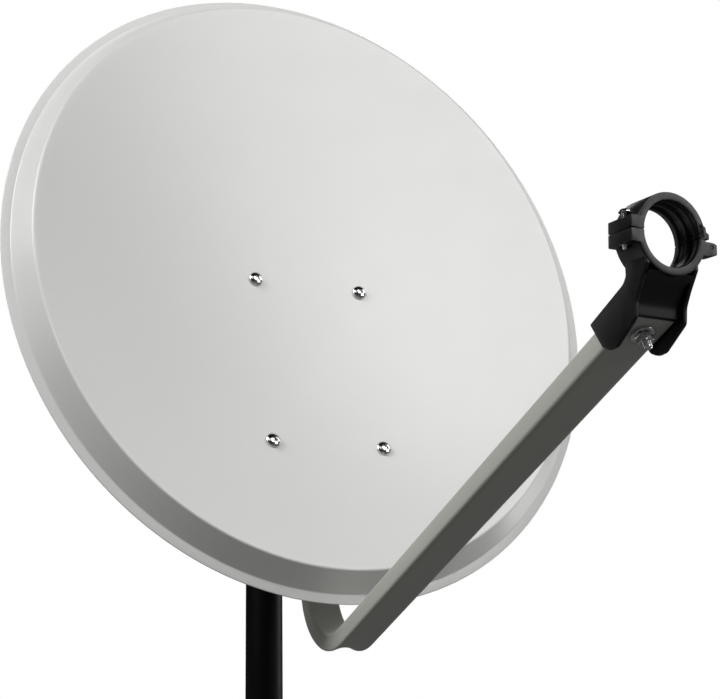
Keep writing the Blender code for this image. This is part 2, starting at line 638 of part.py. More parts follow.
def box(low, high):
    outline = [(low[0], low[1]), (high[0], low[1]), (high[0], high[1]), (low[0], high[1])]
    return prism(outline, low[2], high[2])


def make_holder():
    """The clamp's lower half, and two cheeks that straddle the arm's tip with a web and shelf between."""
    base = half_ring(-1, RING_BORE, RING_OUTER, -RING_LENGTH, 0)
    mouth = half_ring(-1, 0.010, RING_MOUTH, -0.003, 0.003)
    lug = box((LUG_LEFT, -0.0087, -0.0230), (LUG_RIGHT, -SPLIT, 0))
    block = [(0.0230, -0.0110), (0.0308, -0.0106), (0.0348, -0.0092), (0.0354, -0.0084)]
    block += [(0.0354, -0.0034), (0.0347, -0.0023), (0.0322, -0.0013), (0.0240, -0.0013)]
    knuckles = [prism(block, KNUCKLE_GAP[1], 0), prism(block, -0.0232, KNUCKLE_GAP[0])]
    cheek = [(-0.0140, -0.0212), (-0.0252, -0.0208), (-0.0297, -0.0235), (-0.0495, -0.0578)]
    cheek += [(-0.0650, -0.0461), (-0.0674, -0.0432), (-0.0688, -0.0396), (-0.0687, -0.0350)]
    cheek += [(-0.0670, -0.0291), (-0.0530, -0.0120), (-0.0424, -0.0114), (-0.0340, -0.0080)]
    cheek += [(-0.0275, -0.0042), (-0.0208, -0.0004), (-0.0140, -0.0004)]
    cheeks = [prism(cheek, CHEEK_IN, CHEEK_OUT, "X"), prism(cheek, -CHEEK_OUT, -CHEEK_IN, "X")]
    on_tube, over_shelf = TUBE_HALF_HEIGHT + GAP, TUBE_HALF_HEIGHT + SHELF
    behind_web = ARM_TIP + 0.0006
    shelf = [feed_side(behind_web, on_tube), feed_side(HOLDER_SHELF[0], on_tube)]
    shelf += [feed_side(HOLDER_SHELF[0], over_shelf), feed_side(HOLDER_SHELF[1], over_shelf)]
    web = [(-0.0246, -0.0006), (-0.0302, -0.0075), (-0.0362, -0.0124), (-0.0430, -0.0155)]
    web += [feed_side(ARM_TIP + 0.0026, -TUBE_HALF_HEIGHT), feed_side(behind_web, -TUBE_HALF_HEIGHT)]
    web += [shelf[0], (-0.0356, -0.0296), (-0.0298, -0.0170), (-0.0252, -0.0093)]
    half = CHEEK_IN + 0.0001
    inside = [prism(web, -half, half, "X"), prism(shelf, -half, half, "X")]
    bolt_hole = rod(M6_HOLE, arm_point(HOLDER_BOLT, 0), arm_point(HOLDER_BOLT, 0.03))
    nut_pocket = prism(hexagon(0.0074, 30), -0.0005, 0.0037)
    nut_pocket = moved(nut_pocket, facing((SCREW_X, -0.0087, SCREW_Z), (0, 1, 0)))
    cut = [
        mouth,
        rod(0.0026, (SCREW_X, -0.02, SCREW_Z), (SCREW_X, 0.01, SCREW_Z)),
        nut_pocket,
        rod(PIN_RADIUS + 0.0001, (HINGE_X, HINGE_Y, -0.03), (HINGE_X, HINGE_Y, 0.01)),
        moved(bolt_hole, FEED_FRAME.matrix_local.inverted()),
    ]
    mesh = combine(base, added=[lug, *knuckles, *cheeks, *inside], cut=cut)
    place("lnb_holder", mesh, BLACK_PLASTIC, FEED_FRAME)
    nut_at = facing((SCREW_X, -0.0085, SCREW_Z), (0, 1, 0))
    place("clamp_nut", nut(0.0070, 0.0032, 0.00255), ZINC, FEED_FRAME, nut_at)
    pin = rod(PIN_RADIUS, (HINGE_X, HINGE_Y, -0.0228), (HINGE_X, HINGE_Y, -0.0004))
    place("hinge_pin", pin, BLACK_PLASTIC, FEED_FRAME)


def make_holder_bolt():
    """The bolt down through the shelf and the arm, with its washer and nut under the arm."""
    turn = facing((0, 0, 0), arm_point(0, 1) - arm_point(0))
    top = TUBE_HALF_HEIGHT + SHELF + GAP
    head = Matrix.Translation(arm_point(HOLDER_BOLT, top)) @ turn
    length = top + TUBE_HALF_HEIGHT + 0.0125
    place("holder_bolt", hex_bolt(M6_FLATS, M6_HEAD, M6, length), ZINC, DISH_FRAME, head)
    thick = 0.0016
    low = -TUBE_HALF_HEIGHT - GAP - thick
    at = Matrix.Translation(arm_point(HOLDER_BOLT, low)) @ turn
    place("holder_washer", washer(0.008, thick, M6_LOOSE), ZINC, DISH_FRAME, at)
    at = Matrix.Translation(arm_point(HOLDER_BOLT, low - GAP - M6_NUT)) @ turn
    place("holder_nut", nut(M6_FLATS, M6_NUT, M6_LOOSE), ZINC, DISH_FRAME, at)


def make_cap():
    """The clamp's upper half: it turns on the hinge pin, and its screw comes with it."""
    base = half_ring(1, RING_BORE, RING_OUTER, -RING_LENGTH, 0)
    mouth = half_ring(1, 0.010, RING_MOUTH, -0.003, 0.003)
    lug = box((LUG_LEFT, SPLIT, -0.0230), (LUG_RIGHT, LUG_TOP, 0))
    step = [(0.0215, SPLIT), (0.0292, SPLIT), (0.0293, 0.0028), (0.0286, 0.0042), (0.0272, 0.0048)]
    step += [(0.0268, 0.0072), (0.0256, 0.0086), (0.0222, 0.0098)]
    shoulder = prism(step, -0.0230, 0)
    tongue = [(0.0271, 0.0020), (0.0271, -0.0036)]
    tongue += arc((HINGE_X, HINGE_Y), 0.0028, 155, 385, 8)
    tongue += [(0.0322, -0.0008), (0.0308, SPLIT), (0.0290, 0.0020)]
    knuckle = prism(tongue, KNUCKLE_GAP[0] + GAP, KNUCKLE_GAP[1] - GAP)
    cut = [
        mouth,
        rod(0.0023, (SCREW_X, -0.02, SCREW_Z), (SCREW_X, 0.03, SCREW_Z)),
        rod(0.0046, (SCREW_X, LUG_TOP, SCREW_Z), (SCREW_X, 0.018, SCREW_Z)),
        rod(PIN_RADIUS + 0.0001, (HINGE_X, HINGE_Y, -0.03), (HINGE_X, HINGE_Y, 0.01)),
    ]
    mesh = combine(base, added=[lug, shoulder, knuckle], cut=cut)
    back = Matrix.Translation((-HINGE_X, -HINGE_Y, 0))
    place("clamp_cap", moved(mesh, back), BLACK_PLASTIC, CAP_FRAME)
    head = [(0, 0.0026), (0.0022, 0.0024), (0.0036, 0.0015), (0.0041, 0)]
    shank = [(SCREW_RADIUS, 0), (SCREW_RADIUS, 0.0010 - SCREW_LENGTH)]
    shank += [(0.0013, -SCREW_LENGTH), (0, -SCREW_LENGTH)]
    at = back @ facing((SCREW_X, SCREW_SEAT, SCREW_Z), (0, 1, 0))
    place("clamp_screw", turned(head + shank, 16), ZINC, CAP_FRAME, at)


make_mast()
make_mast_bracket()
make_mast_clamp()
make_elevation_hardware()
make_reflector()
make_face_bolts()
make_back_bracket()
make_rivets()
make_arm()
make_tilt_channel()
make_holder()
make_holder_bolt()
make_cap()
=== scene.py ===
"""The looks of an offset satellite dish on a mast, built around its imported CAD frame.

Metres and +Z up. The origin is the middle of the mast's foot, and the dish looks along -Y.
Each piece here stands for one CAD node: it rides on that node's body and takes its place.
"""

import json
import math

import bmesh
import bpy
from mathutils import Matrix, Vector


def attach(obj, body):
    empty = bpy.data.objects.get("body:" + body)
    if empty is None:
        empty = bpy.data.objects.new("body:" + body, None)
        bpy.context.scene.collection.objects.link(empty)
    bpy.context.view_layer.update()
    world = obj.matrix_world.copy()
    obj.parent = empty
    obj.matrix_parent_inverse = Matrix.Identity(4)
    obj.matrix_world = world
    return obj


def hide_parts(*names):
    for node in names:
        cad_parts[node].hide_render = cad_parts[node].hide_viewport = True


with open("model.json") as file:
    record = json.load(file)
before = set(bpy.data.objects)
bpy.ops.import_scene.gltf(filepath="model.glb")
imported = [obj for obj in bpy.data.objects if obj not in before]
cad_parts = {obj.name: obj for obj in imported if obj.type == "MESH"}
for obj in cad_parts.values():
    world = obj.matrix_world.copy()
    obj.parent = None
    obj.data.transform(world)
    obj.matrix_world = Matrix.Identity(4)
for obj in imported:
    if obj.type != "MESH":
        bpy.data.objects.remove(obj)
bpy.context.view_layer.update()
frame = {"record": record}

# ---- driving dimensions, as the CAD has them ------------------------------------------------------
GAP = 0.0003  # clearance between two pieces that touch

FOCAL_LENGTH = 0.402
RIM_HALF_WIDTH, RIM_HALF_HEIGHT = 0.2985, 0.3322  # front edge of the rim, an ellipse
SHEET = 0.0015  # thickness of the reflector's sheet
WALL_OUT, WALL_BACK = 0.0174, 0.0214  # the rim's slanted wall
LIP_OUT, LIP_BACK = 0.0266, 0.0221  # the outer edge of the flat lip behind it
RIM_CENTRE = Vector((0.0, -0.179, 0.520))
RIM_TILT = math.radians(10.87)  # how far the rim's normal points above the horizon

SEAT_X, SEAT_HALF_RISE, SEAT_MIDDLE = 0.060, 0.0945, -0.1003  # the four face bolts
FOOT_HEIGHT = 0.012
PLATE = 0.0025  # thickness of the brackets' sheet steel
PLATE_HALF_WIDTH, PLATE_HALF_HEIGHT, FLANGE = 0.078, 0.116, 0.014
RIVETS = [(x, y) for x in (-0.009, 0.009) for y in (-0.045, 0.055)]
RIVET_HOLE = 0.0027

MAST_RADIUS, MAST_WALL, MAST_TOP = 0.020, 0.002, 0.500
PLUG_RIM, PLUG_DEPTH = 0.003, 0.016

PIVOT = Vector((0.0, -0.103, 0.390))
LOCK_RADIUS = 0.055  # from the pivot bolt up to the lock bolt
TILT_DOWN, TILT_UP = 20.0, 12.0  # degrees
M8, M8_HOLE, M8_LOOSE = 0.004, 0.0041, 0.0042  # radii of a bolt, a bearing hole and a washer's bore
M8_FLATS, M8_HEAD, M8_NUT = 0.013, 0.0053, 0.0065
M6, M6_HOLE, M6_LOOSE = 0.0030, 0.0033, 0.0032
M6_FLATS, M6_HEAD, M6_NUT = 0.010, 0.0040, 0.0050
WIDE_HOLE = 0.0043  # for a bolt through the arm, its channel and its sleeves
WASHER = 0.0014
MAST_CHEEK, TILT_CHEEK = 0.0143, 0.0173  # inner faces of the cheeks
TILT_OUTER = TILT_CHEEK + PLATE
U_BOLT_HEIGHTS = (0.374, 0.438)
U_BOLT_RADIUS, ROD, U_BOLT_FRONT = 0.025, 0.004, -0.0555
WEB_FRONT, WEB_LOW, WEB_HIGH = -0.0425, 0.350, 0.462

TUBE_HALF_WIDTH, TUBE_HALF_HEIGHT, TUBE_WALL = 0.0170, 0.0082, 0.0015
ARM_CROSSING = -0.3852  # where the arm's centreline crosses the rim plane
ARM_ANGLE = math.radians(79.2)  # from the rim plane's upward direction to the arm
ARM_TIP, ARM_BACK = 0.4597, 0.0200  # straight run before and behind the rim plane
BEND_RADIUS, BEND_ANGLE = 0.0596, math.radians(109.8)
LIMB = 0.1543  # straight run after the bend
CREASE = 0.006  # how deep the bend's outer wall is folded in
HOLDER_BOLT = 0.4457  # along the arm
HOLDER_SHELF = (0.424, 0.458)  # the holder's top plate, along the arm
SHELF = 0.0033

FEED_CENTRE = Vector((0.0, -0.2640, 0.4855))
FEED_ANGLE = math.radians(17.3)
RING_OUTER, RING_BORE, RING_MOUTH, RING_LENGTH = 0.0266, 0.0206, 0.0214, 0.0235
SPLIT = 0.0003  # half the gap between the clamp's halves
CHEEK_IN, CHEEK_OUT = 0.0173, 0.0204  # the feed holder's cheeks
LUG_LEFT, LUG_RIGHT, LUG_TOP = -0.0312, -0.0213, 0.0081
SCREW_X, SCREW_Z, SCREW_RADIUS = -0.0270, -0.0115, 0.0020
SCREW_SEAT, SCREW_LENGTH = 0.0122, 0.0235  # under the screw's head
HINGE_X, HINGE_Y, PIN_RADIUS = 0.0310, -0.0045, 0.0015
KNUCKLE_GAP = (-0.0160, -0.0080)

MIDDLE = Vector((0.0, -0.34, 0.45))  # what the lamps are turned to
LAMP_DISTANCE = 2.6
CAMERA_PLACE, CAMERA_LENS = (-0.46692, -1.22999, 0.08575), 58.69
CAMERA_TURN = (106.2765, 1.3019, -25.2704)  # pitch, roll and heading, in degrees


# ---- procedural finishes --------------------------------------------------------------------------
class Finish:
    """A Principled material with nodes that vary it over the surface, in metres."""

    def __init__(self, name, metallic=0.0, specular=0.5):
        self.material = bpy.data.materials.new(name)
        self.material.use_nodes = True
        self.tree = self.material.node_tree
        self.shader = self.tree.nodes["Principled BSDF"]
        self.shader.inputs["Metallic"].default_value = metallic
        self.shader.inputs["Specular IOR Level"].default_value = specular
        self.place = self.tree.nodes.new("ShaderNodeTexCoord").outputs["Object"]
        self.height = None

    def noise(self, scale, detail=2.0, stretch=(1, 1, 1)):
        """Noise with this many features a metre, drawn out along an axis where stretch is small."""
        mapping = self.tree.nodes.new("ShaderNodeMapping")
        mapping.inputs["Scale"].default_value = stretch
        self.tree.links.new(self.place, mapping.inputs["Vector"])
        made = self.tree.nodes.new("ShaderNodeTexNoise")
        made.inputs["Scale"].default_value = scale
        made.inputs["Detail"].default_value = detail
        self.tree.links.new(mapping.outputs["Vector"], made.inputs["Vector"])
        return made.outputs["Fac"]

    def cells(self, scale):
        """A random value for each crystal-like cell."""
        made = self.tree.nodes.new("ShaderNodeTexVoronoi")
        made.inputs["Scale"].default_value = scale
        self.tree.links.new(self.place, made.inputs["Vector"])
        split = self.tree.nodes.new("ShaderNodeSeparateColor")
        self.tree.links.new(made.outputs["Color"], split.inputs["Color"])
        return split.outputs["Red"]

    def spread(self, value, low, high, start=0.3, end=0.7):
        """The value's middle range mapped to low..high."""
        made = self.tree.nodes.new("ShaderNodeMapRange")
        limits = {"From Min": start, "From Max": end, "To Min": low, "To Max": high}
        for socket, number in limits.items():
            made.inputs[socket].default_value = number
        self.tree.links.new(value, made.inputs["Value"])
        return made.outputs["Result"]

    def colour(self, value, dark, light):
        ramp = self.tree.nodes.new("ShaderNodeValToRGB")
        ramp.color_ramp.elements[0].position = 0.3
        ramp.color_ramp.elements[0].color = (*dark, 1)
        ramp.color_ramp.elements[1].position = 0.7
        ramp.color_ramp.elements[1].color = (*light, 1)
        self.tree.links.new(value, ramp.inputs["Fac"])
        self.tree.links.new(ramp.outputs["Color"], self.shader.inputs["Base Color"])

    def rough(self, value, low, high):
        self.tree.links.new(self.spread(value, low, high), self.shader.inputs["Roughness"])

    def bump(self, value, strength, distance):
        """Adds relief to the surface, on top of any already there."""
        made = self.tree.nodes.new("ShaderNodeBump")
        made.inputs["Strength"].default_value = strength
        made.inputs["Distance"].default_value = distance
        self.tree.links.new(value, made.inputs["Height"])
        if self.height is not None:
            self.tree.links.new(self.height, made.inputs["Normal"])
        self.height = made.outputs["Normal"]
        self.tree.links.new(self.height, self.shader.inputs["Normal"])


def powder_paint(name, dark, light, low, high, specular=0.5):
    """Sprayed and baked paint: nearly even colour and a fine orange peel."""
    made = Finish(name, specular=specular)
    made.colour(made.noise(6.0, 4.0), dark, light)
    made.rough(made.noise(40.0, 3.0), low, high)
    made.bump(made.noise(420.0, 1.0), 0.10, 0.00006)
    made.bump(made.noise(1900.0, 0.0), 0.08, 0.00002)
    return made.material


def moulded_plastic(name, dark, light):
    """Black plastic with a fine spark-eroded grain and faint flow marks."""
    made = Finish(name, specular=0.36)
    made.colour(made.noise(55.0, 3.0), dark, light)
    made.rough(made.noise(130.0, 3.0), 0.33, 0.41)
    made.bump(made.noise(1500.0, 1.0), 0.25, 0.00004)
    made.bump(made.noise(70.0, 2.0, (1, 1, 0.2)), 0.10, 0.0002)
    return made.material


def zinc_plate():
    """Bright zinc on small fasteners, with clouding and fine pits."""
    made = Finish("bright_zinc", metallic=1.0)
    made.colour(made.noise(260.0, 3.0), (0.46, 0.47, 0.48), (0.90, 0.90, 0.88))
    made.rough(made.noise(340.0, 3.0), 0.10, 0.20)
    made.bump(made.noise(2200.0, 1.0), 0.12, 0.00002)
    return made.material


def galvanised_steel():
    """Hot-dipped sheet, with spangles of slightly different greys."""
    made = Finish("galvanised_sheet", metallic=1.0)
    made.colour(made.cells(170.0), (0.44, 0.45, 0.46), (0.58, 0.59, 0.60))
    made.rough(made.cells(170.0), 0.40, 0.50)
    made.bump(made.noise(260.0, 3.0), 0.12, 0.0001)
    return made.material


def finishes():
    """Each material slot's finish."""
    light_grey = ((0.612, 0.614, 0.600), (0.626, 0.628, 0.614))
    stone_grey = ((0.440, 0.443, 0.403), (0.462, 0.464, 0.425))
    deep_black = ((0.0010, 0.0010, 0.0010), (0.0022, 0.0022, 0.0022))
    soft_black = ((0.0030, 0.0030, 0.0033), (0.0052, 0.0052, 0.0050))
    return {
        "reflector_paint": powder_paint("light_grey_paint", *light_grey, 0.28, 0.32),
        "arm_paint": powder_paint("stone_grey_paint", *stone_grey, 0.40, 0.46),
        "mast_paint": powder_paint("black_paint", *deep_black, 0.42, 0.50, 0.12),
        "holder_plastic": moulded_plastic("holder_black", *soft_black),
        "plug_plastic": moulded_plastic("plug_black", *soft_black),
        "bracket_zinc": galvanised_steel(),
        "fastener_zinc": zinc_plate(),
    }


FINISHES = finishes()
BODY_OF = {node: body for body, nodes in frame["record"]["behaviour"]["bodies"].items() for node in nodes}


def placed(name, data):
    """A new object in the scene."""
    made = bpy.data.objects.new(name, data)
    bpy.context.scene.collection.objects.link(made)
    return made


def piece(node, mesh, slot, at=None, sharp=32):
    """A finished piece that stands for one CAD node and moves with its body."""
    name = "fine_" + node
    mesh.name = name
    if at:
        mesh.transform(at)
    made = placed(name, mesh)
    mesh.materials.clear()
    mesh.materials.append(FINISHES[slot])
    mesh.shade_smooth()
    mesh.set_sharp_from_angle(angle=math.radians(sharp))
    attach(made, BODY_OF[node])
    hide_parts(node)
    return made


def fastener(node, mesh, at=None):
    piece(node, mesh, "fastener_zinc", at)


# ---- mesh helpers ---------------------------------------------------------------------------------
def mesh_of(shape):
    """The finished mesh of a bmesh, with its faces turned outwards."""
    bmesh.ops.recalc_face_normals(shape, faces=shape.faces)
    mesh = bpy.data.meshes.new("shape")
    shape.to_mesh(mesh)
    shape.free()
    return mesh


def combine(base, added=(), cut=(), kept=()):
    """The base with shapes joined to it, then cut out of it, then only what is inside others kept."""
    holder = placed("base", base)
    helpers = []
    for meshes, operation in ((added, "UNION"), (cut, "DIFFERENCE"), (kept, "INTERSECT")):
        for mesh in meshes:
            helper = placed("helper", mesh)
            helpers.append(helper)
            modifier = holder.modifiers.new(operation, "BOOLEAN")
            modifier.operation = operation
            modifier.object = helper
    graph = bpy.context.evaluated_depsgraph_get()
    graph.update()
    result = bpy.data.meshes.new_from_object(holder.evaluated_get(graph))
    for used in (*helpers, holder):
        bpy.data.objects.remove(used)
    return result


def moved(mesh, matrix):
    mesh.transform(matrix)
    return mesh


def facing(point, direction):
    """A frame at a point, whose Z axis is a direction."""
    return Matrix.Translation(point) @ Vector(direction).to_track_quat("Z", "Y").to_matrix().to_4x4()


def skinned(loops, closed=False, capped=True):
    """A mesh through loops of points; a loop of one point is a tip."""
    shape = bmesh.new()
    made = [[shape.verts.new(point) for point in loop] for loop in loops]
    count = max(len(loop) for loop in made)
    made = [loop * count if len(loop) == 1 else loop for loop in made]
    pairs = list(zip(made, made[1:]))
    if closed:
        pairs.append((made[-1], made[0]))
    for first, second in pairs:
        for k in range(count):
            after = (k + 1) % count
            corners = dict.fromkeys((first[k], first[after], second[after], second[k]))
            if len(corners) > 2:
                shape.faces.new(list(corners))
    if capped and not closed:
        for loop in (made[0], made[-1]):
            if loop[0] is not loop[1]:
                shape.faces.new(loop)
    return mesh_of(shape)


def turned(profile, segments=48, ring=False):
    """A profile of (radius, height) points turned about Z: from axis to axis, or a closed ring."""
    loops = []
    for radius, height in profile:
        if radius < 1e-7:
            loops.append([(0, 0, height)])
            continue
        angles = [2 * math.pi * k / segments for k in range(segments)]
        loops.append([(radius * math.cos(a), radius * math.sin(a), height) for a in angles])
    return skinned(loops, closed=ring, capped=False)


def rod(radius, start, end, segments=32):
    """A plain cylinder between two points."""
    start, end = Vector(start), Vector(end)
    length = (end - start).length
    body = turned([(0, 0), (radius, 0), (radius, length), (0, length)], segments)
    return moved(body, facing(start, end - start))


def arc(centre, radius, start, end, steps):
    """Points on a circle from one angle to another, in degrees."""
    angles = [math.radians(start + (end - start) * k / steps) for k in range(steps + 1)]
    return [(centre[0] + radius * math.cos(a), centre[1] + radius * math.sin(a)) for a in angles]


def rounded(corners, step=12.0):
    """A closed outline of (x, y, radius) corners, each rounded to its radius in steps of some degrees."""
    outline = []
    for k, (x, y, radius) in enumerate(corners):
        here = Vector((x, y))
        before = (Vector(corners[k - 1][:2]) - here).normalized()
        after = (Vector(corners[(k + 1) % len(corners)][:2]) - here).normalized()
        half = before.angle(after) / 2
        if radius == 0 or half > math.radians(89):
            outline.append((x, y))
            continue
        reach = min(radius / math.tan(half), 0.49 * (Vector(corners[k - 1][:2]) - here).length,
                    0.49 * (Vector(corners[(k + 1) % len(corners)][:2]) - here).length)
        centre = here + (before + after).normalized() * reach / math.cos(half)
        first = here + before * reach - centre
        turn = math.pi - 2 * half
        turn *= 1 if before.x * after.y - before.y * after.x < 0 else -1
        steps = max(1, math.ceil(math.degrees(abs(turn)) / step))
        for j in range(steps + 1):
            angle = turn * j / steps
            spun = Matrix.Rotation(angle, 2) @ first
            outline.append(tuple(centre + spun))
    return outline


def inset(outline, distance):
    """A closed outline moved inwards."""
    area = sum(a[0] * b[1] - b[0] * a[1] for a, b in zip(outline, outline[1:] + outline[:1]))
    side = 1 if area > 0 else -1
    result = []
    for k, point in enumerate(outline):
        here = Vector(point)
        before = (here - Vector(outline[k - 1])).normalized()
        after = (Vector(outline[(k + 1) % len(outline)]) - here).normalized()
        first = Vector((-before.y, before.x)) * side
        second = Vector((-after.y, after.x)) * side
        result.append(tuple(here + (first + second) * distance / max(0.3, 1 + first.dot(second))))
    return result


def plate(outline, low, high, axis="Z", edge=0.0005, steps=3):
    """An outline drawn across the axis, (x, y) for Z or (y, z) for X, and extruded with rounded edges."""
    levels = []
    for k in range(steps + 1):
        angle = math.pi / 2 * k / steps
        levels.append((edge * (1 - math.sin(angle)), low + edge * (1 - math.cos(angle))))
    levels += [(back, high - (level - low)) for back, level in reversed(levels)]
    loops = []
    for back, level in levels:
        points = inset(outline, back)
        loops.append([(a, b, level) if axis == "Z" else (level, a, b) for a, b in points])
    return skinned(loops)


def box_outline(half_width, half_height, radius):
    """A rectangle's outline with round corners."""
    signs = ((1, -1), (1, 1), (-1, 1), (-1, -1))
    return rounded([(x * half_width, y * half_height, radius) for x, y in signs], 15.0)


def hexagon(across_flats):
    return arc((0, 0), across_flats / math.sqrt(3), 30, 330, 5)


# ---- fasteners ------------------------------------------------------------------------------------
THREAD_PITCH = {M8: 0.00125, M6: 0.0010, SCREW_RADIUS: 0.0007}
THREAD_SIDES = 28


def thread_loops(radius, low, high):
    """Loops of a screw thread from low to high along Z, running out into its core at both ends."""
    pitch = THREAD_PITCH[radius]
    depth = 0.5 * pitch
    rings = max(4, round((high - low) / pitch * 7))
    loops = []
    for ring in range(rings + 1):
        level = low + (high - low) * ring / rings
        fade = min(1.0, (level - low) / (0.8 * pitch), (high - level) / (0.8 * pitch))
        loop = []
        for k in range(THREAD_SIDES):
            phase = (level / pitch - k / THREAD_SIDES) % 1.0
            crest = max(0.0, 1 - abs(2 * phase - 1) * 1.15) * fade
            reach = radius - depth * (1 - crest)
            angle = 2 * math.pi * k / THREAD_SIDES
            loop.append((reach * math.cos(angle), reach * math.sin(angle), level))
        loops.append(loop)
    return loops


def circle(radius, level):
    spots = arc((0, 0), radius, 0, 360 * (1 - 1 / THREAD_SIDES), THREAD_SIDES - 1)
    return [(*spot, level) for spot in spots]


def shank(radius, top, bottom, plain):
    """A bolt's shank from top down to bottom, plain at first and then threaded."""
    core = radius - 0.5 * THREAD_PITCH[radius]
    loops = [[(0, 0, bottom)], circle(0.7 * core, bottom), *thread_loops(radius, bottom + 0.0006, plain)]
    loops += [circle(radius, plain + 0.0004), circle(radius, top), [(0, 0, top)]]
    return skinned(loops, capped=False)


def hex_body(across_flats, low, high, both):
    """A hexagon whose corners are turned away at the top, and at the bottom too if both."""
    corner = across_flats / math.sqrt(3)
    slope = (corner - across_flats / 2 * 0.97) * 0.62
    flat = 0.97 * across_flats / 2
    profile = [(0, low), (flat, low), (corner, low + slope)] if both else [(0, low), (corner, low)]
    profile += [(corner, high - slope), (flat, high), (0, high)]
    prism = plate(hexagon(across_flats), low, high, edge=0.00008, steps=1)
    return combine(prism, kept=[turned(profile, 72)])


def nut(across_flats, thickness, radius):
    """A hexagon nut lying on Z = 0, with flats towards +X and -X, round a bolt of this radius."""
    bore, flare = radius + 0.0001, radius + 0.0006
    profile = [(0, -0.0001), (flare, -0.0001), (bore, 0.0006), (bore, thickness - 0.0006)]
    profile += [(flare, thickness + 0.0001), (0, thickness + 0.0001)]
    return combine(hex_body(across_flats, 0, thickness, True), cut=[turned(profile, 32)])


def washer(radius, thickness, bore):
    spots = ((bore, 0), (radius, 0), (radius, thickness), (bore, thickness))
    return turned(rounded([(*spot, 0.00025) for spot in spots], 30), 56, ring=True)


def hex_bolt(across_flats, head, radius, length, thread):
    """A bolt whose head stands on Z = 0 and whose shank runs down, threaded over its last stretch."""
    top = hex_body(across_flats, 0, head, False)
    rim = 0.31 * across_flats
    hollow = [(0, head + 0.0002), (rim, head + 0.0002), (rim - 0.0004, head - 0.0004), (0, head - 0.0005)]
    top = combine(top, cut=[turned(hollow, 48)])
    return combine(top, added=[shank(radius, head / 2, -length, thread - length)])


def m8_bolt(length, thread):
    return hex_bolt(M8_FLATS, M8_HEAD, M8, length, thread)


def m8_nut():
    return nut(M8_FLATS, M8_NUT, M8)


def cross_recess(across, depth, top):
    """A cutter for a cross-shaped driver recess that narrows as it goes down."""
    wings = []
    for turn in (45, 135):
        half, wide = across / 2, across * 0.11
        loops = []
        for share, level in ((1.0, top + 0.001), (1.0, top), (0.35, top - depth)):
            reach = half * share
            spots = ((-reach, -wide), (reach, -wide), (reach, wide), (-reach, wide))
            loops.append([(*spot, level) for spot in spots])
        wings.append(moved(skinned(loops), Matrix.Rotation(math.radians(turn), 4, "Z")))
    return wings


# ---- frames ---------------------------------------------------------------------------------------
DISH = Matrix.Translation(RIM_CENTRE) @ Matrix.Rotation(math.pi / 2 - RIM_TILT, 4, "X")
FEED_IN_DISH = Matrix.Translation(FEED_CENTRE) @ Matrix.Rotation(FEED_ANGLE, 4, "X")
FEED = DISH @ FEED_IN_DISH

# The reflector's surface in the dish frame: X right, Y up the rim plane, Z out of the face.
CUT_ANGLE = math.acos(RIM_HALF_WIDTH / RIM_HALF_HEIGHT)
CUT_SIN, CUT_COS = math.sin(CUT_ANGLE), math.cos(CUT_ANGLE)
AXIS_OFFSET = 2 * FOCAL_LENGTH * math.tan(CUT_ANGLE)
AXIS_DEPTH = (RIM_HALF_WIDTH**2 + AXIS_OFFSET**2) / (4 * FOCAL_LENGTH)


def surface_height(x, y):
    """The paraboloid's height over the rim plane, below zero inside the rim."""
    across = AXIS_OFFSET + y * CUT_COS
    along = AXIS_DEPTH + y * CUT_SIN
    linear = 2 * across * CUT_SIN + 4 * FOCAL_LENGTH * CUT_COS
    constant = x * x + across * across - 4 * FOCAL_LENGTH * along
    return 2 * constant / (linear + math.sqrt(linear * linear - 4 * CUT_SIN**2 * constant))


def surface_normal(x, y):
    across = AXIS_OFFSET + y * CUT_COS - surface_height(x, y) * CUT_SIN
    toward = Vector((-x, -across, 2 * FOCAL_LENGTH))
    up = toward.y * CUT_COS + toward.z * CUT_SIN
    out = -toward.y * CUT_SIN + toward.z * CUT_COS
    return Vector((toward.x, up, out)).normalized()


SEAT_LOW = surface_height(SEAT_X, SEAT_MIDDLE - SEAT_HALF_RISE)
SEAT_HIGH = surface_height(SEAT_X, SEAT_MIDDLE + SEAT_HALF_RISE)
PLATE_SLOPE = math.atan2(SEAT_HIGH - SEAT_LOW, 2 * SEAT_HALF_RISE)
PLATE_CENTRE = Vector((0, SEAT_MIDDLE, (SEAT_LOW + SEAT_HIGH) / 2 - SHEET - FOOT_HEIGHT))
PLATE_IN_DISH = Matrix.Translation(PLATE_CENTRE) @ Matrix.Rotation(PLATE_SLOPE, 4, "X")
PLATE_FRAME = DISH @ PLATE_IN_DISH
DISH_TO_PLATE = PLATE_IN_DISH.inverted()
WORLD_TO_PLATE = PLATE_FRAME.inverted()


def seat_frames():
    """The four bolt seats in the dish frame, each with Z along the reflector's normal."""
    for side in (-1, 1):
        for rise in (1, -1):
            x, y = side * SEAT_X, SEAT_MIDDLE + rise * SEAT_HALF_RISE
            yield facing((x, y, surface_height(x, y)), surface_normal(x, y))


SEATS = list(seat_frames())


# ---- reflector ------------------------------------------------------------------------------------
FACE_RINGS, ROUND = 44, 288
FRONT_BEND, LIP_BEND = 0.0028, 0.0022  # radii of the rim's two bends


def rim_section(x, y, away):
    """(out, height) points of the rim's front at one place, from the face over both bends to the lip."""
    inside = 0.008
    start = (-inside, surface_height(x - inside * away.x, y - inside * away.y), 0)
    edge = LIP_OUT - SHEET / 2
    path = [start, (0, 0, FRONT_BEND), (WALL_OUT, -WALL_BACK, LIP_BEND), (edge, -LIP_BACK, 0)]
    return rounded(path + [(edge, -1, 0), (-inside, -1, 0)], 9.0)[:-2]


def offset_back(section, thickness):
    """The section's other side, a sheet's thickness behind it."""
    result = []
    for k, point in enumerate(section):
        before = Vector(section[max(0, k - 1)])
        after = Vector(section[min(len(section) - 1, k + 1)])
        along = (after - before).normalized()
        result.append((point[0] + along.y * thickness, point[1] - along.x * thickness))
    return result


